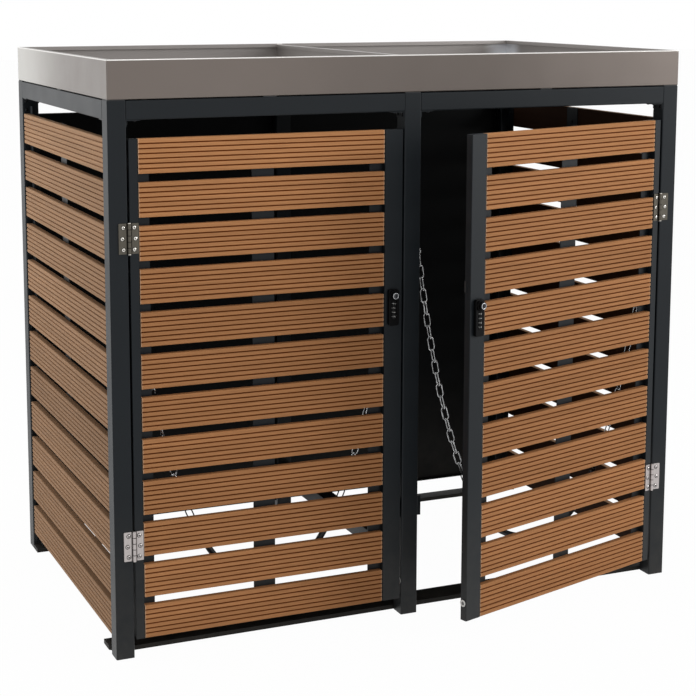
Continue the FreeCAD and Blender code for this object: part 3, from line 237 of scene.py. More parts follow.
# %% [markdown]
# The planter has another coat: a warm grey with a metallic shimmer. A part of metal in the
# shader gives the shimmer. Its turn of tone along the fascia, from taupe at the front to silver
# where the left side mirrors the bright side of the room, is a painted reflection, wider than
# any lamp here would make it: a smooth step along X darkens the middle of the front, and along
# Y the left side gets a darker front end and a silver rear end.
#
# Its sheets are cut at 45 degrees at the corners of the rim, and the mitres show as fine lines.
# A mitre is where the distance to the side equals the distance to the front or the back, so a
# few sums on the coordinates draw all four. The same two distances find the outer lip of the
# rim, which gets a painted highlight, and the divider's top edges get one too. The folds that
# turn down inside the rim are as light as the trays.

# %% Planter coat
PLANTER_LOW, PLANTER_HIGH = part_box("planter_fascia")
FACE_DEPTH = 0.0025
LIP_WIDTH = 0.0022
RIM_WIDTH = 0.014
DIVIDER_HALF = 0.007
EDGE_BLUR = 0.0006
FRONT_DIP = 0.14
FRONT_DIP_REACH = 0.62
PLANTER_GREY = screen(112, 103, 97)
TRAY_GREY = screen(160, 155, 152)
PAINTED_SILVER_REFLECTION = screen(205, 204, 199)
PLANTER_SEAM = screen(58, 53, 49)
PAINTED_EDGE_HIGHLIGHT = screen(236, 234, 230)
BLACK = (0.0, 0.0, 0.0, 1.0)


def shimmering(name, colour, roughness, metallic):
    """A finish with the metallic coat's clouds, flecks and fine grain."""
    finish = Finish(name, colour, roughness, metallic)
    cloud = finish.ramp(finish.noise(1.7, 3.0), 0.3, 0.7, 0.96, 1.04)
    fleck = finish.ramp(finish.noise(1500.0, 1.0), 0.35, 0.65, 0.94, 1.06)
    sheen = finish.ramp(finish.noise(14.0, 4.0), 0.3, 0.7, roughness - 0.03, roughness + 0.04)
    finish.feed("Roughness", sheen)
    finish.relief(finish.noise(500.0, 2.0), 0.00004, 0.5)
    return finish, finish.brightened(colour, finish.maths("MULTIPLY", cloud, fleck))


def planter_coat():
    finish, colour = shimmering("planter coat", PLANTER_GREY, 0.34, 0.5)
    x, y, z = (finish.along(axis) for axis in "XYZ")
    off_centre = finish.maths("ABSOLUTE", x)
    middle_y = (PLANTER_LOW.y + PLANTER_HIGH.y) / 2
    to_side = finish.maths("SUBTRACT", PLANTER_HIGH.x, off_centre)
    to_end = finish.maths("SUBTRACT", PLANTER_HIGH.y - middle_y, finish.gap(y, middle_y))

    # Painted reflection: the middle of the front is painted darker, its ends a little lighter.
    on_front = finish.ramp(y, PLANTER_LOW.y + FACE_DEPTH, PLANTER_LOW.y + 2 * FACE_DEPTH, 1.0, 0.0)
    front_painted_dip = finish.ramp(finish.gap(x, FRONT_DIP), 0.0, FRONT_DIP_REACH, 0.80, 1.06, soft=True)
    change = finish.maths("MULTIPLY", on_front, finish.maths("SUBTRACT", front_painted_dip, 1.0))
    colour = finish.brightened(colour, finish.maths("ADD", change, 1.0))

    # Painted reflection: the left side is painted darker towards its front and silver towards its
    # rear.
    on_left = finish.ramp(x, PLANTER_LOW.x + FACE_DEPTH, PLANTER_LOW.x + 2 * FACE_DEPTH, 1.0, 0.0)
    left_painted_dark = finish.maths("MULTIPLY", on_left, finish.ramp(y, 0.1, 0.6, 0.15, 0.04))
    colour = finish.mix(left_painted_dark, colour, BLACK)
    left_painted_silver = finish.maths("MULTIPLY", on_left, finish.ramp(y, 0.27, 0.78, 0.05, 0.74, soft=True))
    colour = finish.mix(left_painted_silver, colour, PAINTED_SILVER_REFLECTION)

    near_edge = finish.maths("MINIMUM", to_side, to_end)
    inside = finish.ramp(near_edge, RIM_WIDTH - 0.002, RIM_WIDTH - 0.0015)
    colour = finish.mix(inside, colour, TRAY_GREY)

    # Painted highlight along the outer lip of the rim and along the divider's top edges.
    on_lip = finish.ramp(near_edge, LIP_WIDTH, LIP_WIDTH + EDGE_BLUR, 1.0, 0.0)
    on_divider = finish.ramp(off_centre, DIVIDER_HALF, DIVIDER_HALF + EDGE_BLUR, 1.0, 0.0)
    edge_highlight_mask = finish.maths("MAXIMUM", on_lip, finish.maths("MULTIPLY", inside, on_divider))
    lip_foot = PLANTER_HIGH.z - LIP_WIDTH
    at_top = finish.ramp(z, lip_foot, lip_foot + EDGE_BLUR)
    colour = finish.mix(finish.maths("MULTIPLY", edge_highlight_mask, at_top), colour, PAINTED_EDGE_HIGHLIGHT)

    from_mitre = finish.gap(to_side, to_end)
    on_rim = finish.ramp(z, PLANTER_HIGH.z - 0.004, PLANTER_HIGH.z - 0.003)
    seam = finish.maths("MULTIPLY", finish.ramp(from_mitre, 0.0003, 0.0006, 1.0, 0.0), on_rim)
    finish.feed("Base Color", finish.mix(seam, colour, PLANTER_SEAM))
    return finish.material


def tray_coat():
    """The trays' inside: the same grey, brighter, with a faint veil of dried rain.

    The photograph has a soft white streak in the far right corner, where two walls mirror each
    other and the sky. It is laid in the coat, by the distance from that corner in plan.
    """
    finish, toned = shimmering("tray coat", TRAY_GREY, 0.42, 0.3)
    veil = finish.ramp(finish.noise(2.6, 2.0), 0.4, 0.7, 0.0, 0.15)
    toned = finish.mix(veil, toned, screen(128, 121, 115))
    # Painted reflection: a soft white streak in the far right corner, fading with the distance in
    # plan.
    from_corner = finish.in_plan(PLANTER_HIGH.x, PLANTER_HIGH.y)
    corner_painted_reflection = finish.ramp(from_corner, 0.03, 0.085, 1.0, 0.0, soft=True)
    finish.feed("Base Color", finish.mix(corner_painted_reflection, toned, screen(236, 238, 242)))
    return finish.material


planter_finish, tray_finish = planter_coat(), tray_coat()
print("planter coat from", [round(v, 3) for v in PLANTER_LOW],
      "to", [round(v, 3) for v in PLANTER_HIGH])

# %% [markdown]
# The boards are pressed from wood flour and plastic. They have the brown of teak, without
# knots or rings, but with short pale and dark fibres that all lie along the board, and each
# board comes out of another batch with another tone. The grooves are much darker than the
# ribs, a painted shade with some old polish. Where a board is sawn off, its core is paler.
#
# The board meshes will carry four values for this: how deep in a groove a point lies, whether
# it is near a sawn end or on the back, and the tone of its board. Fibres come from a noise
# that is stretched along the board, which is why the finish has to know which way the boards
# of a piece run. The boards of the side walls get a greyer brown, a painted sheen, and their
# grooves less painted shade; the backs are painted dark with shade.

# %% Boards' finish
DOOR_BROWN = screen(173, 122, 81)
SIDE_SHEEN_BROWN = screen(166, 131, 101)
GROOVE_SHADE_BROWN = screen(97, 44, 3)
SAWN_BROWN = screen(203, 170, 141)
BACK_SHADE_BROWN = screen(58, 37, 24)


def board_finish(name, rib_brown, angle, depth):
    """Ribbed board whose length runs at an angle from X; depth is how dark its grooves are."""
    finish = Finish(name, rib_brown, 0.62)
    finish.shader.inputs["Specular IOR Level"].default_value = 0.05
    value = {}
    for key in ("groove", "cut", "back", "tone"):
        reader = finish.add("ShaderNodeAttribute")
        reader.attribute_name = key
        value[key] = reader.outputs["Fac"]
    fibres = finish.noise(1.0, 5.0, 0.65, finish.turned(angle, (14, 500, 700)))
    streaks = finish.noise(1.0, 3.0, 0.6, finish.turned(angle, (2.5, 60, 110)))
    cloud = finish.noise(1.0, 2.0, 0.5, finish.turned(angle, (1.3, 8, 16)))
    light = finish.maths("MULTIPLY", finish.ramp(fibres, 0.3, 0.7, 0.86, 1.14),
                         finish.ramp(streaks, 0.3, 0.7, 0.90, 1.10))
    light = finish.maths("MULTIPLY", light, finish.ramp(cloud, 0.3, 0.7, 0.95, 1.05))
    light = finish.maths("MULTIPLY", light, value["tone"])
    # Painted shade in the grooves, with some old polish; depth sets how strong it is.
    brown = finish.mix(finish.maths("MULTIPLY", value["groove"], depth), rib_brown, GROOVE_SHADE_BROWN)
    brown = finish.mix(finish.maths("MULTIPLY", value["cut"], 0.8), brown, SAWN_BROWN)
    # Painted shade: the backs of the boards are dark brown.
    brown = finish.mix(value["back"], brown, BACK_SHADE_BROWN)
    finish.feed("Base Color", finish.brightened(brown, light))
    finish.feed("Roughness", finish.ramp(fibres, 0.3, 0.7, 0.55, 0.72))
    finish.relief(fibres, 0.00012, 0.7)
    return finish.material


def sawn_finish():
    """The pale, crumbly core at a board's end."""
    finish = Finish("sawn end", SAWN_BROWN, 0.8)
    grain = finish.noise(900.0, 3.0, 0.7)
    crumbs = finish.ramp(grain, 0.3, 0.7, 0.75, 1.15)
    finish.feed("Base Color", finish.brightened(SAWN_BROWN, crumbs))
    finish.relief(grain, 0.0002)
    return finish.material


sawn_end = sawn_finish()
AJAR = math.radians(-joints["right_door_hinge"]["range_deg"][0])
door_board = {
    "left": board_finish("left door board", DOOR_BROWN, 0.0, 1.0),
    "right": board_finish("right door board", DOOR_BROWN, AJAR, 1.0),
}
# Painted sheen: the side boards are a greyer brown than the door boards, with fainter painted
# groove shade.
side_board = board_finish("side board", SIDE_SHEEN_BROWN, math.pi / 2, 0.4)
print("the right door stands ajar by", round(math.degrees(AJAR)), "degrees")

# %% [markdown]
# Zinc plating is bright with a faint cloudiness on the hinge screws, and passivated to near
# black on all other screws and bolts. The two kinds lie in the same pieces, so the finish
# tells them apart by place: a hinge screw stands beside a hinge pin. The lower hinge screws
# are painted dimmer than the upper ones, a painted reflection. The chain has a smooth grey
# plating, on which the lamps make bright lines; its low links are painted near black, a
# painted reflection of the dark bay.
#
# The hinges are rolled stainless steel: long fine scratches run along their height, so their
# noise is squeezed across and stretched along. The upper pair is painted much darker than the
# lower one, a painted reflection of darker surroundings. Painted shade darkens the crease
# beside the knuckles and the joints between them. The key cylinder is the one polished piece.

# %% Bare metals
PIN_X, PIN_Y = (float(v) for v in joints["right_door_hinge"]["pos_m"][:2])
HINGE_REACH = 0.022
HINGE_MIDDLES = (0.248, 0.906)
HINGE_HALF_LENGTH = 0.034
KNUCKLE_RADIUS = 0.004
KNUCKLE_PITCH = 0.0128
BETWEEN_PAIRS = (0.45, 0.70)
PAINTED_DARK_LINKS = (0.31, 0.34)
CREASE_SHADE_COLOUR = screen(26, 24, 23)


def off_hinge(finish):
    """The height above or below the middle of the nearer hinge."""
    heights = [finish.gap(finish.along("Z"), middle) for middle in HINGE_MIDDLES]
    return finish.maths("MINIMUM", *heights)


def zinc():
    low_hinge_screws_dim, bright, black = screen(186, 180, 178), screen(232, 228, 220), screen(40, 41, 42)
    finish = Finish("zinc", bright, 0.3, 1.0)
    from_pin = finish.in_plan(PIN_X, PIN_Y, mirrored=True)
    aside = finish.ramp(from_pin, HINGE_REACH - 0.001, HINGE_REACH + 0.001)
    above = finish.ramp(off_hinge(finish), HINGE_HALF_LENGTH, HINGE_HALF_LENGTH + 0.002)
    far = finish.maths("MAXIMUM", aside, above)
    # Painted reflection: the lower hinge screws are dimmer than the upper ones.
    near_pin = finish.mix(finish.ramp(finish.along("Z"), *BETWEEN_PAIRS), low_hinge_screws_dim, bright)
    cells = finish.add("ShaderNodeTexVoronoi", Vector=finish.place, Scale=420.0)
    shade = finish.ramp(cells.outputs["Color"], 0.0, 1.0, 0.85, 1.05)
    finish.feed("Base Color", finish.brightened(finish.mix(far, near_pin, black), shade))
    finish.feed("Roughness", finish.ramp(finish.noise(160.0, 3.0), 0.3, 0.7, 0.22, 0.36))
    finish.relief(finish.noise(900.0, 2.0), 0.00003, 0.5)
    return finish.material


def chain_plating():
    low, high = screen(44, 44, 46), screen(228, 229, 230)
    finish = Finish("chain plating", high, 0.17, 1.0)
    worn = finish.ramp(finish.noise(90.0, 3.0, 0.7), 0.35, 0.7, 0.4, 1.15)
    # Painted dark reflection: the links below this height are painted near black.
    colour = finish.mix(finish.ramp(finish.along("Z"), *PAINTED_DARK_LINKS), low, high)
    finish.feed("Base Color", finish.brightened(colour, worn))
    finish.feed("Roughness", finish.ramp(finish.noise(120.0, 2.0), 0.3, 0.7, 0.12, 0.24))
    finish.relief(finish.noise(1400.0, 2.0), 0.00002, 0.4)
    return finish.material


def rolled_steel():
    low, high = screen(187, 180, 178), screen(92, 88, 80)
    finish = Finish("rolled steel", low, 0.36, 1.0)
    scratches = finish.noise(1.0, 4.0, 0.6, finish.turned(0.0, (2200, 2200, 25)))
    smear = finish.noise(70.0, 3.0)
    # Painted reflection: the upper hinges are darker than the lower ones.
    colour = finish.mix(finish.ramp(finish.along("Z"), *BETWEEN_PAIRS), low, high)

    # Painted shade: a dark line in the crease beside each knuckle and at the joints between
    # knuckles.
    from_pin = finish.in_plan(PIN_X, PIN_Y, mirrored=True)
    off_knuckle = finish.gap(from_pin, KNUCKLE_RADIUS + 0.0014)
    crease = finish.ramp(off_knuckle, 0.0008, 0.0013, 0.85, 0.0)
    off_joint = [finish.gap(off_hinge(finish), knuckles * KNUCKLE_PITCH) for knuckles in (0.5, 1.5)]
    joint = finish.ramp(finish.maths("MINIMUM", *off_joint), 0.0006, 0.0012, 0.8, 0.0)
    on_knuckle = finish.ramp(from_pin, KNUCKLE_RADIUS, KNUCKLE_RADIUS + 0.0005, 1.0, 0.0)
    crease_and_joint_shade = finish.maths("MAXIMUM", crease, finish.maths("MULTIPLY", joint, on_knuckle))
    shade = finish.ramp(scratches, 0.3, 0.7, 0.82, 1.08)
    finish.feed("Base Color", finish.brightened(finish.mix(crease_and_joint_shade, colour, CREASE_SHADE_COLOUR), shade))
    finish.feed("Roughness", finish.ramp(smear, 0.3, 0.7, 0.30, 0.44))
    finish.relief(scratches, 0.00002, 0.6)
    return finish.material


def polished(name, colour, roughness):
    finish = Finish(name, colour, roughness, 1.0)
    rubbed = finish.noise(220.0, 4.0, 0.7)
    finish.feed("Roughness", finish.ramp(rubbed, 0.35, 0.75, roughness - 0.03, roughness + 0.1))
    shade = finish.ramp(finish.noise(500.0, 3.0), 0.3, 0.7, 0.9, 1.05)
    finish.feed("Base Color", finish.brightened(colour, shade))
    finish.relief(finish.noise(1800.0, 1.0), 0.000008, 0.5)
    return finish.material


zinc_finish, steel_finish, chain_finish = zinc(), rolled_steel(), chain_plating()
chrome_finish = polished("chrome ring", screen(222, 223, 226), 0.1)
key_finish = polished("key cylinder", screen(72, 72, 74), 0.2)
metals = (zinc_finish, steel_finish, chain_finish, chrome_finish, key_finish)
print("metals:", [metal.name for metal in metals])

# %% [markdown]
# The rest is plastic and rubber. The lock cases are smooth enough to mirror the window, with
# fine hair scratches. Plugs and pads are moulded with a dull grain, the buffers are soft
# rubber, and the cord between a chain's ends has a waxy shine with scuffs.

# %% Plastics and rubber
def moulded(name, colour, roughness, grain, depth, scuff=0.1, mirror=0.5):
    """Plastic or rubber with a moulded grain and scuffs that turn it duller."""
    finish = Finish(name, colour, roughness)
    finish.shader.inputs["Specular IOR Level"].default_value = mirror
    scuffs = finish.noise(24.0, 5.0, 0.7)
    worn = finish.maths("MULTIPLY", finish.ramp(scuffs, 0.55, 0.75), 0.25)
    paler = (*(min(1.0, v * 2.2 + 0.01) for v in colour[:3]), 1.0)
    finish.feed("Base Color", finish.mix(worn, colour, paler))
    finish.feed("Roughness", finish.ramp(scuffs, 0.35, 0.75, roughness, roughness + scuff))
    finish.relief(finish.noise(grain, 2.0), depth, 0.6)
    return finish.material


lock_plastic = moulded("lock plastic", screen(6, 6, 7), 0.36, 1200.0, 0.00001, mirror=0.08)
dial_plastic = moulded("dial plastic", screen(12, 12, 13), 0.3, 900.0, 0.00001, mirror=0.15)
plug_plastic = moulded("plug plastic", screen(28, 28, 30), 0.55, 1100.0, 0.00006)
buffer_rubber = moulded("buffer rubber", screen(18, 18, 19), 0.7, 800.0, 0.00008)
seat_shade_black = moulded("screw seat shade", screen(9, 9, 9), 0.6, 900.0, 0.00002, mirror=0.2)
cord_rubber = moulded("cord rubber", screen(24, 24, 26), 0.42, 300.0, 0.00008, 0.2)
figure_paint = moulded("figure paint", screen(232, 232, 228), 0.4, 2500.0, 0.00001)
ring_plastic = moulded("ring plastic", screen(240, 240, 237), 0.45, 1500.0, 0.00002)
button_plastic = moulded("button plastic", screen(112, 113, 114), 0.5, 1200.0, 0.00003)
print("plastics:", len([m for m in bpy.data.materials if "plastic" in m.name]))

# %% [markdown]
# Each CAD node keeps its shape and gets one finish. The names say what a node is, so a short
# list of name endings is enough to dress all of them, and the loop stops on a node that no
# ending fits.

# %% Dress the CAD nodes
NODE_FINISHES = (
    (("_post", "top_rails", "centre_low_rail", "cleats_and_stops"), frame_coat),
    (("_stile", "_strap", "_straps"), frame_coat),
    (("rear_panel_left", "rear_panel_right"), black_coat),
    (("_sill",), sill_coat),
    (("planter_fascia", "planter_divider"), planter_finish),
    (("_planter_tray",), tray_finish),
    (("left_door_slats",), door_board["left"]),
    (("right_door_slats",), door_board["right"]),
    (("_side_slats",), side_board),
    (("frame_fasteners", "_door_fixings", "hinge_pins", "_lock_cam"), zinc_finish),
    (("chain_eye_bolts", "_chain_links"), chain_finish),
    (("hinge_frame_leaves", "_hinge_leaves"), steel_finish),
    (("plugs_and_pads",), plug_plastic),
    (("_door_buffers",), buffer_rubber),
    (("_lock_case", "_lock_knob"), lock_plastic),
    (("_code_dial_1", "_code_dial_2", "_code_dial_3", "_code_dial_4"), dial_plastic),
    (("_key_barrel",), key_finish),
    (("_chain_cord",), cord_rubber),
)


def finish_for(name):
    for endings, finish in NODE_FINISHES:
        if name.endswith(endings):
            return finish
    raise ValueError("no finish for " + name)


for name, piece in nodes.items():
    piece.data.materials.clear()
    piece.data.materials.append(finish_for(name))
print("dressed", len(nodes), "nodes")

# %% [markdown]
# New pieces are worked out as whole numpy arrays and put into a mesh in one go. The helper
# below takes vertices and faces, dresses the piece, and says which body of the model carries
# it, so that it swings with a door or turns with a knob. Four more helpers give the points of
# a piece named values, join shapes, mirror them from the left to the right, and turn them about
# an upright line, as a hinge does.

# %% From arrays to a piece
SMOOTH_ANGLE = math.radians(35)


def piece_from(name, vertices, faces, finishes, body, slot):
    """A mesh object at the origin; edges with a larger angle than the smooth one stay sharp."""
    mesh = bpy.data.meshes.new(name)
    mesh.from_pydata(vertices, [], faces)
    for finish in finishes:
        mesh.materials.append(finish)
    mesh.update()
    mesh.polygons.foreach_set("use_smooth", np.ones(len(mesh.polygons), bool))
    mesh.set_sharp_from_angle(angle=SMOOTH_ANGLE)
    piece = bpy.data.objects.new(name, mesh)
    bpy.context.scene.collection.objects.link(piece)
    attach(piece, body)
    return piece


def point_values(piece, name, values):
    """A named value for each vertex, which a finish can read as an attribute."""
    layer = piece.data.attributes.new(name, "FLOAT", "POINT")
    layer.data.foreach_set("value", np.asarray(values, np.float32).ravel())


def joined(shapes):
    """One array of points and one list of faces out of several pairs of them."""
    starts = np.cumsum([0] + [len(points) for points, _ in shapes]).tolist()
    faces = [[start + v for v in face] for start, shape in zip(starts, shapes) for face in shape[1]]
    return np.concatenate([points for points, _ in shapes]), faces


def flipped(points, *face_lists):
    """The mirror image in the middle plane, with its faces turned to look out again."""
    image = points * np.array([-1, 1, 1])
    return (image, *([face[::-1] for face in faces] for faces in face_lists))


def turn_about(points, pivot, angle):
    """Points turned about the upright line through the pivot."""
    c, s = math.cos(angle), math.sin(angle)
    turn = np.array([[c, -s, 0], [s, c, 0], [0, 0, 1]])
    return (points - pivot) @ turn.T + pivot


right_hinge = np.array(joints["right_door_hinge"]["pos_m"])
print("the right door turns about", right_hinge.round(3))

# %% [markdown]
# A board's section is nearly a rectangle with chamfered corners. Its face is a row of ribs,
# and the depth of the face at a height follows one formula: zero on the ribs, and inside a
# groove a smooth step down and up again. The step is s * s * (3 - 2 * s), where s runs from 0
# at the groove's lip to 1 where its floor begins. So the grooves get soft lips, which catch
# light, with no modelling by hand.

# %% Section of a board
BOARDS = 12
BOARD_HEIGHT = 0.0725
BOARD_CHAMFER = 0.0012
GROOVES = 6
GROOVE_HALF = 0.0016
GROOVE_DEPTH = 0.0024
GROOVE_LIP = 0.0007
POINTS_PER_RIB = 22
CUT_WIDTH = 0.0022


def groove_share(height):
    """How deep a point of the face lies: 0 on a rib, 1 on a groove's floor."""
    pitch = BOARD_HEIGHT / (GROOVES + 1)
    nearest = np.clip(np.round(height / pitch), 1, GROOVES) * pitch
    inside = GROOVE_HALF - np.abs(height - nearest)
    step = np.clip(inside / GROOVE_LIP, 0, 1)
    return step * step * (3 - 2 * step)


def board_section(thickness):
    """Depth from the face, height, groove share and back share of each point of the section."""
    top = BOARD_HEIGHT - BOARD_CHAMFER
    heights = np.linspace(BOARD_CHAMFER, top, POINTS_PER_RIB * (GROOVES + 1) + 1)
    share = groove_share(heights)
    back = thickness - BOARD_CHAMFER
    depth = np.concatenate([share * GROOVE_DEPTH,
                            [BOARD_CHAMFER, back, thickness, thickness, back, BOARD_CHAMFER]])
    height = np.concatenate([heights, [BOARD_HEIGHT, BOARD_HEIGHT, top, BOARD_CHAMFER, 0, 0]])
    on_back = (depth == thickness).astype(float)
    return depth, height, np.concatenate([share, np.zeros(6)]), on_back


# %% [markdown]
# All boards of a wall are the same section carried along a straight line, at rising heights.
# With broadcasting that is one array: board, station along the length, point of the section.
# Faces come from the same index grid, shifted by one station and one point. The two ends are
# closed by one face each, which gets the sawn finish.
#
# Each board also gets its tone here, from the lowest to the highest: one brightness for the
# whole board, by which the finish multiplies its brown. The tones were set against the
# photograph, board by board, so that the mixed batches match.

# %% Walls of boards
def wall_of_boards(start, end, thickness, low, pitch):
    """Boards from start to end along X with their faces towards -Y, and their values."""
    depth, height, share, back = board_section(thickness)
    first, last = start[0], end[0]
    stations = np.array([first, first + CUT_WIDTH, last - CUT_WIDTH, last])
    rise = low + pitch * np.arange(BOARDS)
    shape = (BOARDS, len(stations), len(depth))
    x = np.broadcast_to(stations[None, :, None], shape)
    y = np.broadcast_to(start[1] + depth[None, None, :], shape)
    z = np.broadcast_to(rise[:, None, None] + height[None, None, :], shape)
    points = np.stack([x, y, z], -1).reshape(-1, 3)
    index = np.arange(len(points)).reshape(shape)
    ring = np.roll(index, -1, axis=2)
    quads = np.stack([index[:, :-1], index[:, 1:], ring[:, 1:], ring[:, :-1]], -1).reshape(-1, 4)
    ends = index[:, 0].tolist() + index[:, -1, ::-1].tolist()
    cut = np.array([1, 0, 0, 1])[None, :, None]
    values = {"groove": share, "back": back, "cut": cut}
    spread = {key: np.broadcast_to(value, shape) for key, value in values.items()}
    return points, quads.tolist(), ends, spread


def put_boards(name, node, body, finish, points, quads, ends, values, tones):
    piece = piece_from(name, points, quads + ends, [finish, sawn_end], body, "slat_board")
    piece.data.polygons.foreach_set("material_index", np.repeat([0, 1], [len(quads), len(ends)]))
    for key, value in values.items():
        point_values(piece, key, value)
    point_values(piece, "tone", np.repeat(tones, len(points) // BOARDS))
    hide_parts(node)


# %% Door boards
LEFT_TONES = (1.06, 1.09, 1.00, 0.98, 1.04, 1.01, 0.97, 0.98, 1.09, 1.16, 1.21, 1.28)
RIGHT_TONES = (0.95, 1.01, 0.99, 0.90, 0.85, 0.87, 0.87, 0.93, 0.89, 0.94, 1.02, 1.05)
SIDE_TONES = (0.87, 0.83, 0.89, 0.87, 0.75, 0.85, 0.91, 0.96, 0.91, 0.98, 0.98, 1.07)

door_low, door_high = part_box("left_door_slats")
board_pitch = (door_high.z - door_low.z - BOARD_HEIGHT) / (BOARDS - 1)
door_points, door_quads, door_ends, door_values = wall_of_boards(
    door_low, door_high, door_high.y - door_low.y, door_low.z, board_pitch)
put_boards("left_door_boards", "left_door_slats", "left_door", door_board["left"],
           door_points, door_quads, door_ends, door_values, LEFT_TONES)
mirror_points, mirror_quads, mirror_ends = flipped(door_points, door_quads, door_ends)
mirror_points = turn_about(mirror_points, right_hinge, AJAR)
put_boards("right_door_boards", "right_door_slats", "right_door", door_board["right"],
           mirror_points, mirror_quads, mirror_ends, door_values, RIGHT_TONES)
print("board pitch", round(board_pitch * 1000, 1), "mm, points of a wall", len(door_points))

# %% Side boards
side_low, side_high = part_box("left_side_slats")
flat_start = np.array([-side_high.y, side_low.x])
flat_end = np.array([-side_low.y, side_low.x])
flat_points, side_quads, side_ends, side_values = wall_of_boards(
    flat_start, flat_end, side_high.x - side_low.x, side_low.z, board_pitch)
side_points = flat_points[:, [1, 0, 2]] * np.array([1, -1, 1])
put_boards("left_side_boards", "left_side_slats", "store_frame", side_board,
           side_points, side_quads, side_ends, side_values, SIDE_TONES)
mirror_points, mirror_quads, mirror_ends = flipped(side_points, side_quads, side_ends)
put_boards("right_side_boards", "right_side_slats", "store_frame", side_board,
           mirror_points, mirror_quads, mirror_ends, side_values, SIDE_TONES[::-1])
print("side boards from y", round(side_low.y, 3), "to", round(side_high.y, 3))

# %% [markdown]
# The four dials of a lock carry the figures 0 to 9, one on each flat face. Figures are best
# taken from a font: a text object becomes a mesh, and only then is it placed, as an array of
# points. A figure is stood upright, pushed out to its dial's face and turned about the dial's
# own axis by its share of the full turn.

# %% Figures on the dials
FIGURE_SIZE = 0.0036
FIGURE_THICK = 0.00006
DIAL_FACE_RADIUS = 0.005
DIAL_FACES = 10
SHOWN_CODE = (0, 0, 0, 0)


def figure_mesh(figure):
    """Vertices and faces of one figure, centred, upright, and looking towards -Y."""
    curve = bpy.data.curves.new("figure", "FONT")
    curve.body = str(figure)
    curve.size = FIGURE_SIZE
    curve.extrude = FIGURE_THICK
    text = bpy.data.objects.new("figure", curve)
    bpy.context.scene.collection.objects.link(text)
    bpy.context.view_layer.update()
    mesh = bpy.data.meshes.new_from_object(text)
    flat = np.zeros(len(mesh.vertices) * 3)
    mesh.vertices.foreach_get("co", flat)
    flat = flat.reshape(-1, 3)
    faces = [list(face.vertices) for face in mesh.polygons]
    bpy.data.objects.remove(text)
    bpy.data.curves.remove(curve)
    bpy.data.meshes.remove(mesh)
    centred = flat - np.append((flat[:, :2].max(0) + flat[:, :2].min(0)) / 2, 0)
    return np.stack([centred[:, 0], -centred[:, 2], centred[:, 1]], -1), faces


FIGURES = [figure_mesh(figure) for figure in range(DIAL_FACES)]


def dial_figures(side, number, shown, angle):
    """All ten figures of a dial, with the shown one at the front."""
    centre = np.array(joints["%s_dial_%d_turn" % (side, number)]["pos_m"])
    shapes = []
    for place in range(DIAL_FACES):
        points, faces = FIGURES[(shown + place) % DIAL_FACES]
        stood = points + np.array([0, -DIAL_FACE_RADIUS, 0])
        turn = angle + 2 * math.pi * place / DIAL_FACES
        shapes.append((turn_about(stood, np.zeros(3), turn) + centre, faces))
    body = "%s_dial_%d" % (side, number)
    piece_from(body + "_figures", *joined(shapes), [figure_paint], body, "dial_plastic")


for side, angle in (("left", 0.0), ("right", AJAR)):
    for number, shown in enumerate(SHOWN_CODE, start=1):
        dial_figures(side, number, shown, angle)
print("figures drawn on", 2 * len(SHOWN_CODE), "dials")

# %% [markdown]
# A pale ring and a grey button finish each door's round buffer, and a thin polished ring sits
# round each key cylinder. Both are surfaces of revolution: a short profile of radius and
# height, carried round an axis. For a ring the profile is a loop, so the grid wraps in both
# directions. A button's profile is open, and one face each closes it at the two ends.

# %% Rings and buttons
def revolved(profile, centre, axis, sides, looped=True):
    """Each (radius, height) pair of the profile becomes a circle about the axis."""
    axis = np.array(axis, float) / np.linalg.norm(axis)
    across = np.cross(axis, (0.0, 0.0, 1.0))
    across /= np.linalg.norm(across)
    up = np.cross(across, axis)
    turn = np.linspace(0, 2 * math.pi, sides, endpoint=False)
    spoke = np.outer(np.cos(turn), across) + np.outer(np.sin(turn), up)
    radius, height = np.array(profile).T
    points = (np.array(centre) + spoke[:, None, :] * radius[None, :, None]
              + axis * height[None, :, None]).reshape(-1, 3)
    index = np.arange(len(points)).reshape(sides, len(profile))
    after = np.roll(index, -1, axis=0)
    quads = np.stack([index, np.roll(index, -1, 1), np.roll(after, -1, 1), after], -1)
    if looped:
        return points, quads.reshape(-1, 4).tolist()
    caps = [index[::-1, 0].tolist(), index[:, -1].tolist()]
    return points, quads[:, :-1].reshape(-1, 4).tolist() + caps


def ring_profile(inner, outer, low, high, points=20):
    """An oval between two radii and two heights."""
    turn = np.linspace(0, 2 * math.pi, points, endpoint=False)
    radius = (inner + outer) / 2 + (outer - inner) / 2 * np.cos(turn)
    height = (low + high) / 2 + (high - low) / 2 * np.sin(turn)
    return np.stack([radius, height], -1)


KEY_RING = ring_profile(0.0057, 0.0069, -0.0007, 0.0003)
KEY_RING_SUNK = 0.0003


def key_ring(side):
    """The polished ring in the knob's mouth, about the key cylinder."""
    joint = joints[side + "_key_turn"]
    axis = np.array(joint["axis"], float) * (-1.0 if joint["axis"][1] > 0 else 1.0)
    low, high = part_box(side + "_key_barrel")
    front = np.array([(low.x + high.x) / 2, low.y, (low.z + high.z) / 2])
    reach = np.dot(front - np.array(joint["pos_m"]), axis)
    centre = np.array(joint["pos_m"]) + axis * (reach - KEY_RING_SUNK)
    points, faces = revolved(KEY_RING, centre, axis, 48)
    name = side + "_key_ring"
    return piece_from(name, points, faces, [chrome_finish], side + "_knob", "key_chrome")


print("rings:", [key_ring(side).name for side in ("left", "right")])

# %% [markdown]
# A hinge is small in the picture, and what the eye reads of it is the screws: a dark ring
# where each head sits in its seat, and a dark cross on the head. Both are painted shade, the
# ring of the gap round the head and the cross of the recess in it. The ring is a surface of
# revolution. A stroke of the cross is a thin bar bent over the dome, whose height falls from
# the crown with the square of the distance from the middle.

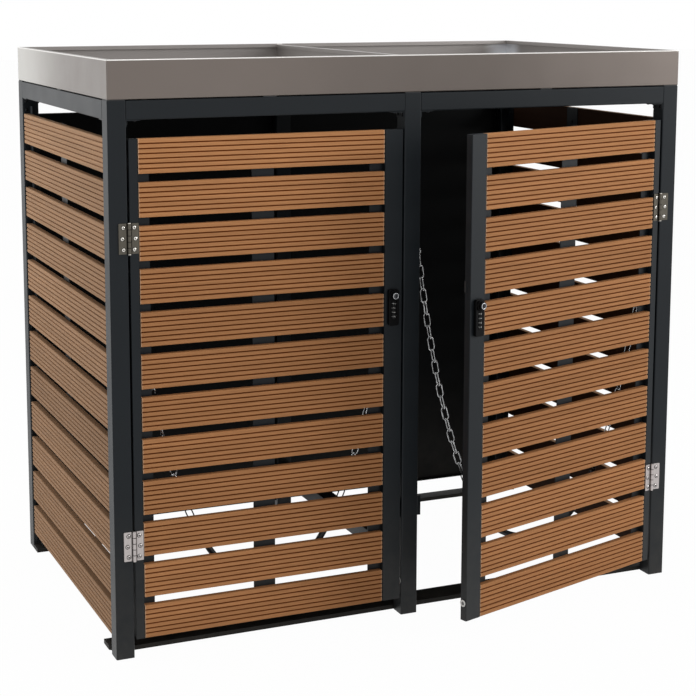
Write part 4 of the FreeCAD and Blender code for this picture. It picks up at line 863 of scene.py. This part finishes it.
# %% Seats and crosses of the hinge screws
SEAT_ROWS = (-0.023, 0.0, 0.023)
SEAT_STAGGER = 0.0012
SEAT_FROM_PIN = {"store_frame": -0.01325, "door": 0.01225}
SEAT_SHADE_RING = ring_profile(0.0036, 0.0050, -0.0002, 0.0003, 8)
LEAF_FRONT = -0.022
CROSS_REACH = 0.0027
CROSS_HALF_WIDTH = 0.0005
CROSS_PROUD = 0.00004
CROSS_ROOT = -0.0003
HEAD_CROWN = 0.0018
CROWN_CURVE = 53.3
FIRST_TURN_DEG = 25
TURN_PER_ROW_DEG = 35


def cross_bar(angle):
    """A dark stroke of painted recess shade over a screw head, along its dome: crown less curve
    times distance squared.
    """
    run = np.linspace(-CROSS_REACH, CROSS_REACH, 7)
    crown = HEAD_CROWN - CROWN_CURVE * run ** 2
    rows = []
    for way, proud in ((-1, CROSS_PROUD), (1, CROSS_PROUD), (1, CROSS_ROOT), (-1, CROSS_ROOT)):
        aside = np.full(len(run), way * CROSS_HALF_WIDTH)
        rows.append(np.stack([run, -(crown + proud), aside], -1))
    points = np.stack(rows, 1).reshape(-1, 3)
    c, s = math.cos(angle), math.sin(angle)
    points = points @ np.array([[c, 0, s], [0, 1, 0], [-s, 0, c]])
    index = np.arange(len(points)).reshape(len(run), 4)
    around = np.roll(index, -1, axis=1)
    quads = np.stack([index[:-1], around[:-1], around[1:], index[1:]], -1).reshape(-1, 4).tolist()
    return points, quads + [index[0, ::-1].tolist(), index[-1].tolist()]


def screw_seats(side, carrier):
    """Painted shade rings and crosses on the screws of one leaf of each of a side's two hinges."""
    way = 1 if carrier == "door" else -1
    shapes = []
    for middle in HINGE_MIDDLES:
        for number, row in enumerate(SEAT_ROWS):
            stagger = way * SEAT_STAGGER * (1 if row == 0 else -1)
            across = -PIN_X + SEAT_FROM_PIN[carrier] + stagger
            centre = np.array([across, LEAF_FRONT, middle + row])
            # Painted shade: a dark ring at each seat, then a dark cross on each head.
            shapes.append(revolved(SEAT_SHADE_RING, centre, (0, -1, 0), 28))
            turn = math.radians(FIRST_TURN_DEG + TURN_PER_ROW_DEG * number)
            for angle in (turn, turn + math.pi / 2):
                bar, bar_faces = cross_bar(angle)
                shapes.append((bar + centre, bar_faces))
    points, faces = joined(shapes)
    if side == "right":
        points, faces = flipped(points, faces)
        if carrier == "door":
            points = turn_about(points, right_hinge, AJAR)
    body = side + "_door" if carrier == "door" else "store_frame"
    name = "%s_%s_screw_seats" % (side, carrier)
    piece_from(name, points, faces, [seat_shade_black], body, "plug_plastic")


for side in ("left", "right"):
    for carrier in SEAT_FROM_PIN:
        screw_seats(side, carrier)
print("screw seats:", 4 * len(HINGE_MIDDLES) * len(SEAT_ROWS))

# %% [markdown]
# The last small pieces are the ring and the button of the buffers, one pair at each door's free
# edge, low down. They are made at the left door and mirrored and turned for the right one.

# %% Door buffers
BUFFER_RADIUS = 0.008
BUFFER_RING = ring_profile(0.0039, 0.0078, -0.0004, 0.0012)
BUTTON_PROFILE = [(0.0036, -0.0004), (0.0036, 0.0001), (0.0031, 0.0003), (0.0018, 0.0004),
                  (0.0004, 0.00045)]


def buffer_trim(side):
    """The pale ring and the grey button on the round buffer at a door's free edge."""
    low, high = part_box("left_door_buffers")
    centre = np.array([high.x, low.y + BUFFER_RADIUS, low.z + BUFFER_RADIUS])
    ring = revolved(BUFFER_RING, centre, (1, 0, 0), 56)
    button = revolved(BUTTON_PROFILE, centre, (1, 0, 0), 40, looped=False)
    parts = (("ring", ring, ring_plastic), ("button", button, button_plastic))
    for part, (points, faces), finish in parts:
        if side == "right":
            points, faces = flipped(points, faces)
            points = turn_about(points, right_hinge, AJAR)
        name = "%s_buffer_%s" % (side, part)
        piece_from(name, points, faces, [finish], side + "_door", "plug_plastic")


buffer_trim("left")
buffer_trim("right")
print("trimmed the buffers", round(BUFFER_RADIUS * 2000), "mm across")

# %% [markdown]
# The stage is a pale floor that runs far back, under a pale sky. For the camera and in
# mirrors both look white, which is a mix towards a plain white glow for those rays alone. The
# floor keeps a part of its own shading in that mix, so the store's shadow stays on it. Light
# that falls on the store isn't touched by this.

# %% Floor and sky
def seen_rays(tree):
    """1 for rays from the camera, from mirrors and through glass, 0 for the rest."""
    path = tree.nodes.new("ShaderNodeLightPath")
    total = path.outputs["Is Camera Ray"]
    for name in ("Is Glossy Ray", "Is Transmission Ray"):
        larger = tree.nodes.new("ShaderNodeMath")
        larger.operation = "MAXIMUM"
        tree.links.new(total, larger.inputs[0])
        tree.links.new(path.outputs[name], larger.inputs[1])
        total = larger.outputs[0]
    return total


FLOOR_GLOW = 0.98
SKY_LEVEL = 0.36


def pale_floor():
    material = bpy.data.materials.new("pale floor")
    material.use_nodes = True
    tree = material.node_tree
    matt = tree.nodes["Principled BSDF"]
    matt.inputs["Base Color"].default_value = (0.9, 0.9, 0.9, 1)
    matt.inputs["Roughness"].default_value = 0.9
    glow = tree.nodes.new("ShaderNodeEmission")
    share = tree.nodes.new("ShaderNodeMath")
    share.operation = "MULTIPLY"
    share.inputs[1].default_value = FLOOR_GLOW
    tree.links.new(seen_rays(tree), share.inputs[0])
    mix = tree.nodes.new("ShaderNodeMixShader")
    tree.links.new(share.outputs[0], mix.inputs[0])
    tree.links.new(matt.outputs[0], mix.inputs[1])
    tree.links.new(glow.outputs[0], mix.inputs[2])
    tree.links.new(mix.outputs[0], tree.nodes["Material Output"].inputs["Surface"])
    return material


FLOOR_REACH = 30.0
corners = np.array([[-1, -1, 0], [1, -1, 0], [1, 1, 0], [-1, 1, 0]]) * FLOOR_REACH
floor_mesh = bpy.data.meshes.new("floor")
floor_mesh.from_pydata(corners, [], [(0, 1, 2, 3)])
floor_mesh.materials.append(pale_floor())
floor = bpy.data.objects.new("floor", floor_mesh)
bpy.context.scene.collection.objects.link(floor)

world = bpy.data.worlds.new("sky")
bpy.context.scene.world = world
world.use_nodes = True
sky = world.node_tree.nodes["Background"]
sky.inputs["Color"].default_value = (1, 1, 1, 1)
level = world.node_tree.nodes.new("ShaderNodeMapRange")
level.inputs["To Min"].default_value = SKY_LEVEL
level.inputs["To Max"].default_value = 1.0
world.node_tree.links.new(seen_rays(world.node_tree), level.inputs["Value"])
world.node_tree.links.new(level.outputs["Result"], sky.inputs["Strength"])
print("sky level", SKY_LEVEL, "floor glow", FLOOR_GLOW)

# %% [markdown]
# In the photograph the ajar door is brighter than the closed one, and the closed door darkens
# towards its lock. Both follow from one wide lamp far to the right: it looks straight at the
# turned door, whose free edge throws a soft shadow on its neighbour. A second lamp stands low
# at the left rear, because the side wall grows brighter to the rear. A third is a large faint
# one still farther back, which the left faces mirror. A little light comes from above and
# from the front.

# %% Lamps
MIDDLE = (0.0, 0.385, 0.65)


def lamp(name, place, width, watts):
    """A round lamp that looks at the middle of the store."""
    light = bpy.data.lights.new(name, "AREA")
    light.shape = "DISK"
    light.size = width
    light.energy = watts
    thing = bpy.data.objects.new(name, light)
    bpy.context.scene.collection.objects.link(thing)
    thing.location = place
    aim(thing, MIDDLE)


lamp("right lamp", (4.2, -2.6, 2.2), 2.6, 120.0)
lamp("left lamp", (-3.2, 1.9, 1.3), 2.0, 42.0)
lamp("far lamp", (-3.2, 8.7, 1.2), 4.0, 8.0)
lamp("front lamp", (-0.6, -5.2, 2.2), 2.6, 14.0)
lamp("top lamp", (-0.4, 0.2, 4.2), 2.4, 36.0)

# %% [markdown]
# The colours above are meant as a screen shows them, so the view transform is the plain one.

# %% Finish
bpy.context.scene.view_settings.view_transform = "Standard"
